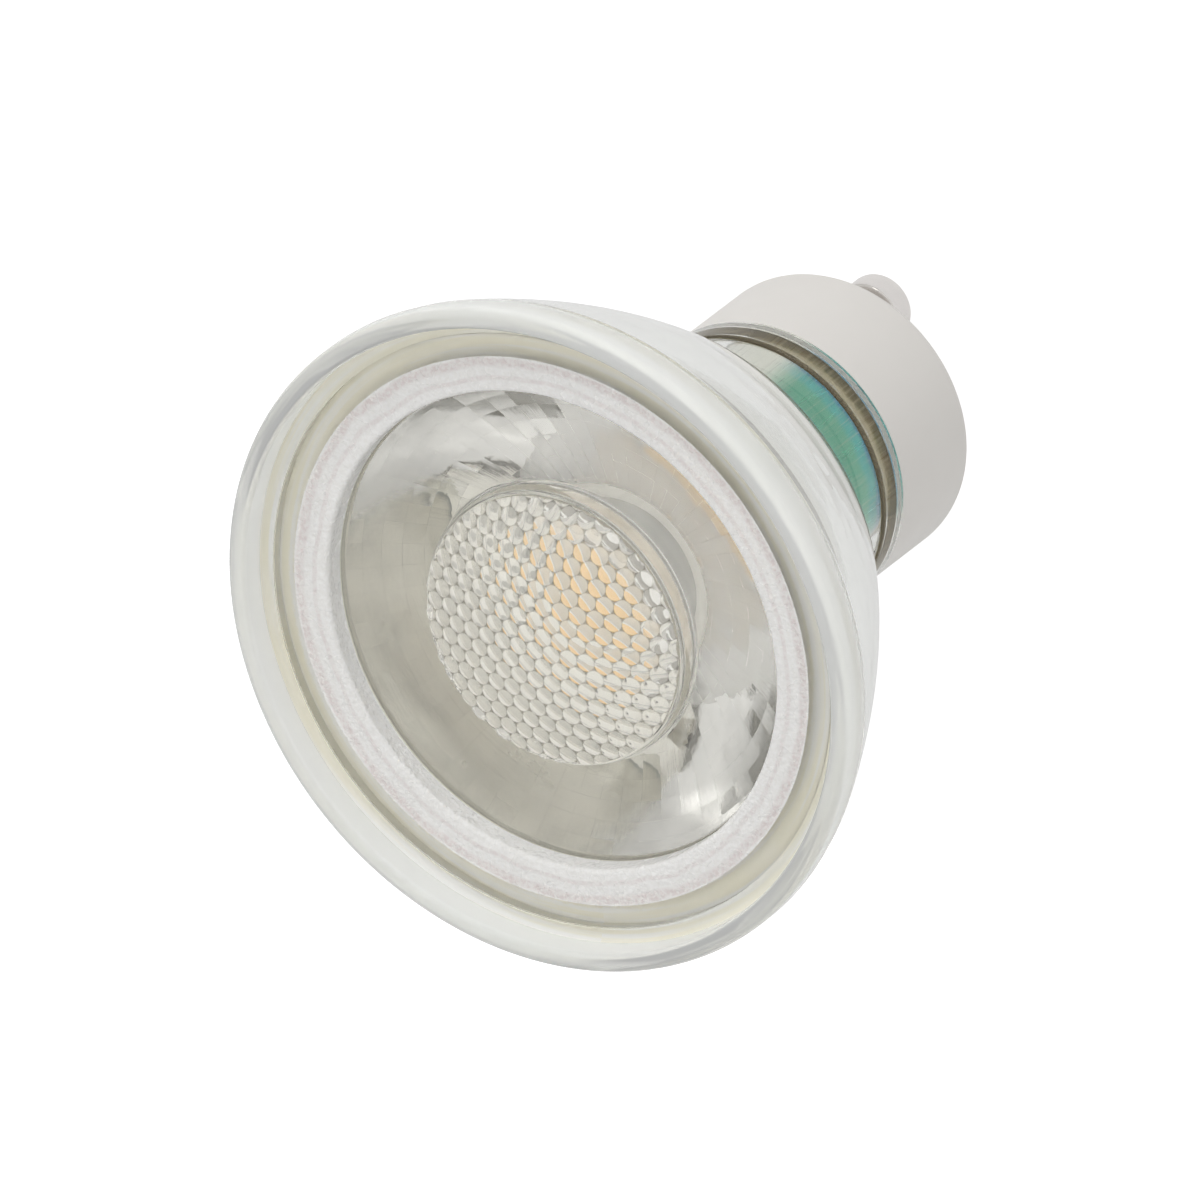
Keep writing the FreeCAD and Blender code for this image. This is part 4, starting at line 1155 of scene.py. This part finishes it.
class BULB_OT_base(bpy.types.Operator):
    """Model the base cap with its ribs and pin holes"""
    bl_idname = "bulb.base"
    bl_label = "Base cap"

    def rib(self, base, number):
        """One inner rib, a stretched cube sunk into wall and floor."""
        deselect()
        bore = base.diameter / 2 - base.wall
        length = base.rib_length + base.wall / 2
        height = base.rib_height + base.floor / 2
        bpy.ops.mesh.primitive_cube_add(size=1.0)
        rib = named("rib")
        rib.scale = (length, base.rib_width, height)
        rib.location = (bore - base.rib_length + length / 2, 0.0, base.floor / 2 + height / 2)
        bpy.ops.object.transform_apply(location=True, rotation=False, scale=True)
        rib.rotation_euler = (0.0, 0.0, (number + 0.5) * 2 * math.pi / base.rib_count)
        bpy.ops.object.transform_apply(location=False, rotation=True, scale=False)
        return rib

    def execute(self, context):
        scene = context.scene
        base, colours = scene.bulb_base, scene.bulb_finishes
        outer = base.diameter / 2
        bore = outer - base.wall
        outer_corner, mouth_corner, bore_corner = (outer, 0.0), (outer, base.height), (bore, base.height)
        outline = [(0.0, 0.0)]
        outline += bend((0.0, 0.0), outer_corner, mouth_corner, base.edge_round)
        outline += bend(outer_corner, mouth_corner, bore_corner, base.mouth_round)
        outline += [bore_corner, (bore, base.floor), (0.0, base.floor)]
        piece = turned("base_shell", outline)
        for number in range(base.rib_count):
            combined(piece, self.rib(base, number), "UNION")
        for sign in (-1, 1):
            cutter = rod("hole", base.shank_diameter / 2, -MM, base.floor + MM, sign * base.pin_pitch / 2)
            combined(piece, cutter, "DIFFERENCE")
        smooth(piece)
        low = tuple(part * 0.975 for part in colours.base)
        placed(piece, plastic_finish("Warm white plastic", colours.base, low), "base_plastic", "base_cap")
        # The inner faces' glow is painted light, for light that comes in through the glass
        divided(piece, [plastic_finish("Smeared plastic", (0.60, 0.54, 0.40), (0.50, 0.46, 0.33), glow=0.1)],
                lambda reach, face: reach < bore + HAIR and face.center.z > base.floor - HAIR)
        return {"FINISHED"}


class BULB_OT_pins(bpy.types.Operator):
    """Turn the two mushroom pins"""
    bl_idname = "bulb.pins"
    bl_label = "Contact pins"

    def execute(self, context):
        scene = context.scene
        base, colours = scene.bulb_base, scene.bulb_finishes
        head, stem, shank = base.head_diameter / 2, base.stem_diameter / 2, base.shank_diameter / 2
        rivet, bore = base.rivet_diameter / 2, base.bore_diameter / 2
        tip = -base.pin_reach
        shelf = tip + base.head_height
        rivet_top = base.floor + base.rivet_height
        bore_end = rivet_top - base.bore_depth
        outline = [(0.0, tip)]
        outline += bend((0.0, tip), (head, tip), (head, shelf), base.head_round)
        outline += bend((head, tip), (head, shelf), (stem, shelf), base.under_round)
        outline += bend((head, shelf), (stem, shelf), (stem, 0.0), base.under_round)
        outline += [(stem, 0.0), (shank, 0.0), (shank, base.floor), (rivet, base.floor), (rivet, rivet_top),
                    (bore, rivet_top), (bore, bore_end), (0.0, bore_end)]
        finish = metal_finish("Nickel plating", colours.pin, (0.80, 0.78, 0.76), 0.2)
        for sign, name in ((-1, "pin_left"), (1, "pin_right")):
            piece = turned(name, outline, SMALL_AROUND)
            moved(piece, x=sign * base.pin_pitch / 2)
            smooth(piece)
            placed(piece, finish, "pin_nickel", "contact_" + name)
        return {"FINISHED"}


class BULB_OT_inner(bpy.types.Operator):
    """Give the solids inside the bulb their finishes"""
    bl_idname = "bulb.inner"
    bl_label = "Inner parts"

    def execute(self, context):
        zinc = metal_finish("Zinc plating", (0.72, 0.72, 0.70), (0.60, 0.60, 0.58), 0.35)
        tinned = metal_finish("Tinned copper", (0.76, 0.74, 0.70), (0.66, 0.64, 0.60), 0.3)
        epoxy = plastic_finish("Black epoxy", (0.03, 0.03, 0.03), (0.045, 0.045, 0.045), 0.5)
        finishes = {"board_screws": zinc, "lead_solder": tinned, "input_lead_left": tinned,
                    "input_lead_right": tinned, "bridge_rectifier": epoxy, "driver_chip": epoxy,
                    "output_diode": epoxy}
        plastics = (
            ("thermal_pad", "Grey pad", (0.50, 0.52, 0.54), (0.44, 0.46, 0.48), 0.7),
            ("output_lead_left", "Black insulation", (0.03, 0.03, 0.03), (0.05, 0.05, 0.05), 0.38),
            ("output_lead_right", "Red insulation", (0.32, 0.07, 0.05), (0.26, 0.06, 0.04), 0.38),
            ("driver_insulator", "Natural plastic", (0.78, 0.78, 0.74), (0.70, 0.70, 0.66), 0.38),
            ("driver_board", "Green solder mask", (0.03, 0.22, 0.09), (0.02, 0.16, 0.07), 0.3),
            ("film_capacitor", "Red-brown box", (0.50, 0.09, 0.04), (0.40, 0.07, 0.03), 0.3),
            ("choke_core", "Ferrite", (0.06, 0.06, 0.06), (0.09, 0.09, 0.09), 0.7),
            ("fusible_resistor", "Lacquer", (0.12, 0.24, 0.30), (0.09, 0.19, 0.25), 0.35),
            ("chip_parts", "Fired ceramic", (0.42, 0.33, 0.22), (0.34, 0.27, 0.18), 0.6),
        )
        for node, *values in plastics:
            finishes[node] = plastic_finish(*values)
        # The glow of the board and the cement is painted light, for light that reaches them through the
        # glass
        finishes["led_board"] = plastic_finish("White solder mask", (0.90, 0.89, 0.86), (0.84, 0.83, 0.79),
                                               0.3, glow=0.05)
        finishes["neck_cement"] = plastic_finish("Cement", (0.56, 0.48, 0.33), (0.42, 0.36, 0.24), 0.85,
                                                 bump=0.5, glow=0.1)
        finishes["electrolytic_capacitor"] = metal_finish("Can", (0.12, 0.12, 0.14), (0.08, 0.08, 0.09), 0.3)
        finishes["choke_winding"] = metal_finish("Enamelled copper", (0.60, 0.26, 0.12), (0.50, 0.20, 0.09),
                                                 0.3, rings=24.0)
        for node, finish in finishes.items():
            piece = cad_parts[node]
            piece.data.materials.clear()
            piece.data.materials.append(finish)
        return {"FINISHED"}


class BULB_OT_studio(bpy.types.Operator):
    """Set the camera, lamps, world and floor"""
    bl_idname = "bulb.studio"
    bl_label = "Studio"

    def camera(self, studio):
        """Long lens, nearly without perspective, turned as in the photograph."""
        turn = Matrix.Rotation(VIEW_TURN, 3, "Z")
        sides = (turn @ Vector(side) for side in (VIEW_RIGHT, VIEW_UP, VIEW_BACK))
        turned_to = Matrix(tuple(sides)).transposed().to_quaternion()
        right, up, back = (turned_to @ Vector(axis) for axis in ((1, 0, 0), (0, 1, 0), (0, 0, 1)))
        aim = Vector((0.0, 0.0, studio.aim_height)) + right * studio.shift_right + up * studio.shift_up
        data = bpy.data.cameras.new("Camera")
        data.sensor_width = SENSOR
        data.lens = SENSOR * studio.distance / studio.frame_width
        data.clip_start = 0.1
        data.clip_end = 20.0
        camera = bpy.data.objects.new("Camera", data)
        bpy.context.scene.collection.objects.link(camera)
        camera.rotation_mode = "QUATERNION"
        camera.rotation_quaternion = turned_to
        camera.location = aim + back * studio.distance
        bpy.context.scene.camera = camera
        return right, up, back

    def world(self, studio, right, up, back):
        """White for the camera, soft grey cards for gloss and glass, and plain light for the rest."""
        world = bpy.data.worlds.new("Studio")
        world.cycles.sampling_method = "NONE"
        bpy.context.scene.world = world
        world.use_nodes = True
        tree = world.node_tree
        tree.nodes.clear()
        bench = Bench(tree)
        path = bench.add("LightPath").outputs
        direction = bench.add("TexCoord").outputs["Generated"]
        shade = bench.ranged(bench.add("SeparateXYZ", {0: direction}).outputs[2], 0.0, 0.6,
                             studio.surround, studio.overhead)
        cards = (
            (up * 0.8 - right * 0.6 + back * 0.4, 0.70, 0.86, 0.64),
            (right * 0.9 + up * 0.35 + back * 0.5, 0.80, 0.90, 0.74),
            (back, 0.965, 0.99, 0.58),
            (-right * 0.95 + back * 0.3, 0.92, 0.965, 0.72),
            (-up * 0.9 + right * 0.3 + back * 0.15, 0.93, 0.97, 0.72),
            (up * 0.55 - right * 0.35 + back * 0.75, 0.990, 0.995, 2.2),
        )
        for toward, low, high, level in cards:
            lean = bench.add("VectorMath", {0: direction, 1: tuple(toward.normalized())},
                             operation="DOT_PRODUCT")
            card = bench.ranged(lean.outputs["Value"], low, high)
            shade = bench.ranged(card, 0.0, 1.0, shade, level, "LINEAR")
        uneven = bench.ranged(bench.noise(direction, 4.0, 2.0), 0.34, 0.66, 0.80, 1.06)
        shade = bench.maths("MULTIPLY", shade, uneven)
        seen = bench.maths("MAXIMUM", path["Is Glossy Ray"], path["Is Transmission Ray"])
        plain = bench.mixed(seen, (studio.ambient,) * 3, bench.add(
            "CombineColor", {0: shade, 1: bench.maths("MULTIPLY", shade, 0.995),
                             2: bench.maths("MULTIPLY", shade, 0.96)}).outputs[0])
        bounced = bench.maths("GREATER_THAN", path["Diffuse Depth"], 0.5)
        through_glass = bench.maths("MULTIPLY", seen, bounced)
        plain = bench.mixed(through_glass, plain, (studio.through_glass,) * 3)
        final = bench.mixed(path["Is Camera Ray"], plain, (1.0, 1.0, 1.0))
        light = bench.add("Background", {"Color": final, "Strength": 1.0})
        output = bench.add("OutputWorld")
        tree.links.new(light.outputs[0], output.inputs["Surface"])

    def floor(self, low):
        """Pale floor at the pins' tips; it keeps the shadow and is white to camera, gloss and glass."""
        deselect()
        bpy.ops.mesh.primitive_circle_add(vertices=96, radius=2.2, fill_type="NGON", location=(0, 0, low))
        bpy.ops.object.transform_apply(location=True, rotation=False, scale=False)
        floor = named("floor")
        material = bpy.data.materials.new("Pale floor")
        material.use_nodes = True
        bench = Bench(material.node_tree)
        shader = material.node_tree.nodes["Principled BSDF"]
        mottle = bench.noise(bench.add("TexCoord").outputs["Object"], 3.0)
        bench.feed(shader.inputs["Base Color"],
                   bench.mixed(mottle, (0.46, 0.46, 0.46), (0.44, 0.44, 0.44)))
        bench.feed(shader.inputs["Roughness"], 0.9)
        bench.feed(shader.inputs["Specular IOR Level"], 0.0)
        path = bench.add("LightPath").outputs
        seen = bench.maths("MAXIMUM", path["Is Camera Ray"],
                           bench.maths("MAXIMUM", path["Is Glossy Ray"], path["Is Transmission Ray"]))
        glow = bench.mixed(seen, (0.3, 0.3, 0.3), (0.42, 0.42, 0.42))
        glow = bench.mixed(path["Is Camera Ray"], glow, (0.80, 0.80, 0.80))
        bench.feed(shader.inputs["Emission Color"], glow)
        bench.feed(shader.inputs["Emission Strength"], 1.0)
        floor.data.materials.append(material)

    def lamp(self, name, place, power, width):
        """Large soft lamp that looks at the bulb."""
        data = bpy.data.lights.new(name, "AREA")
        data.shape = "DISK"
        data.size = width
        data.energy = power
        lamp = bpy.data.objects.new(name, data)
        bpy.context.scene.collection.objects.link(lamp)
        lamp.location = place
        lamp.rotation_mode = "QUATERNION"
        lamp.rotation_quaternion = (Vector((0, 0, 0.02)) - place).to_track_quat("-Z", "Y")
        lamp.visible_camera = False
        lamp.visible_glossy = False
        lamp.visible_transmission = False

    def execute(self, context):
        studio = context.scene.bulb_studio
        right, up, back = self.camera(studio)
        self.world(studio, right, up, back)
        self.floor(CAD_BOX[0].z - 0.00002)
        self.lamp("Key", (up * 0.9 - right * 0.5 + back * 0.8).normalized() * 0.9, studio.lamp_power, 0.7)
        context.scene.view_settings.view_transform = "Standard"
        cycles = context.scene.cycles
        cycles.max_bounces = 10
        cycles.diffuse_bounces = 2
        cycles.glossy_bounces = 7
        cycles.transmission_bounces = 10
        return {"FINISHED"}


class BULB_PT_panel(bpy.types.Panel):
    """Lists the operators and the sizes"""
    bl_idname = "BULB_PT_panel"
    bl_label = "Spotlight bulb"
    bl_space_type = "VIEW_3D"
    bl_region_type = "UI"
    bl_category = "Spotlight bulb"

    def draw(self, context):
        for operator in OPERATORS:
            self.layout.operator(operator.bl_idname)
        for label in GROUPS:
            group = getattr(context.scene, label)
            box = self.layout.box()
            for key in group.bl_rna.properties.keys():
                if key not in ("rna_type", "name"):
                    box.prop(group, key)


GROUPS = {"bulb_glass": GlassSizes, "bulb_lens": LensSizes, "bulb_source": SourceSizes,
          "bulb_neck": NeckSizes, "bulb_base": BaseSizes, "bulb_finishes": Finishes, "bulb_studio": Studio}
OPERATORS = (BULB_OT_studio, BULB_OT_glass, BULB_OT_lens, BULB_OT_seal, BULB_OT_liner, BULB_OT_source,
             BULB_OT_sleeve, BULB_OT_base, BULB_OT_pins, BULB_OT_inner)


def register():
    """Add the settings, the operators and the panel."""
    for label, group in GROUPS.items():
        bpy.utils.register_class(group)
        setattr(bpy.types.Scene, label, PointerProperty(type=group))
    for operator in OPERATORS:
        bpy.utils.register_class(operator)
    bpy.utils.register_class(BULB_PT_panel)


def unregister():
    """Take them away again."""
    bpy.utils.unregister_class(BULB_PT_panel)
    for operator in reversed(OPERATORS):
        bpy.utils.unregister_class(operator)
    for label, group in GROUPS.items():
        delattr(bpy.types.Scene, label)
        bpy.utils.unregister_class(group)


def main():
    """Build everything."""
    register()
    for operator in OPERATORS:
        group, name = operator.bl_idname.split(".")
        getattr(getattr(bpy.ops, group), name)()
    deselect()


if __name__ == "__main__":
    main()
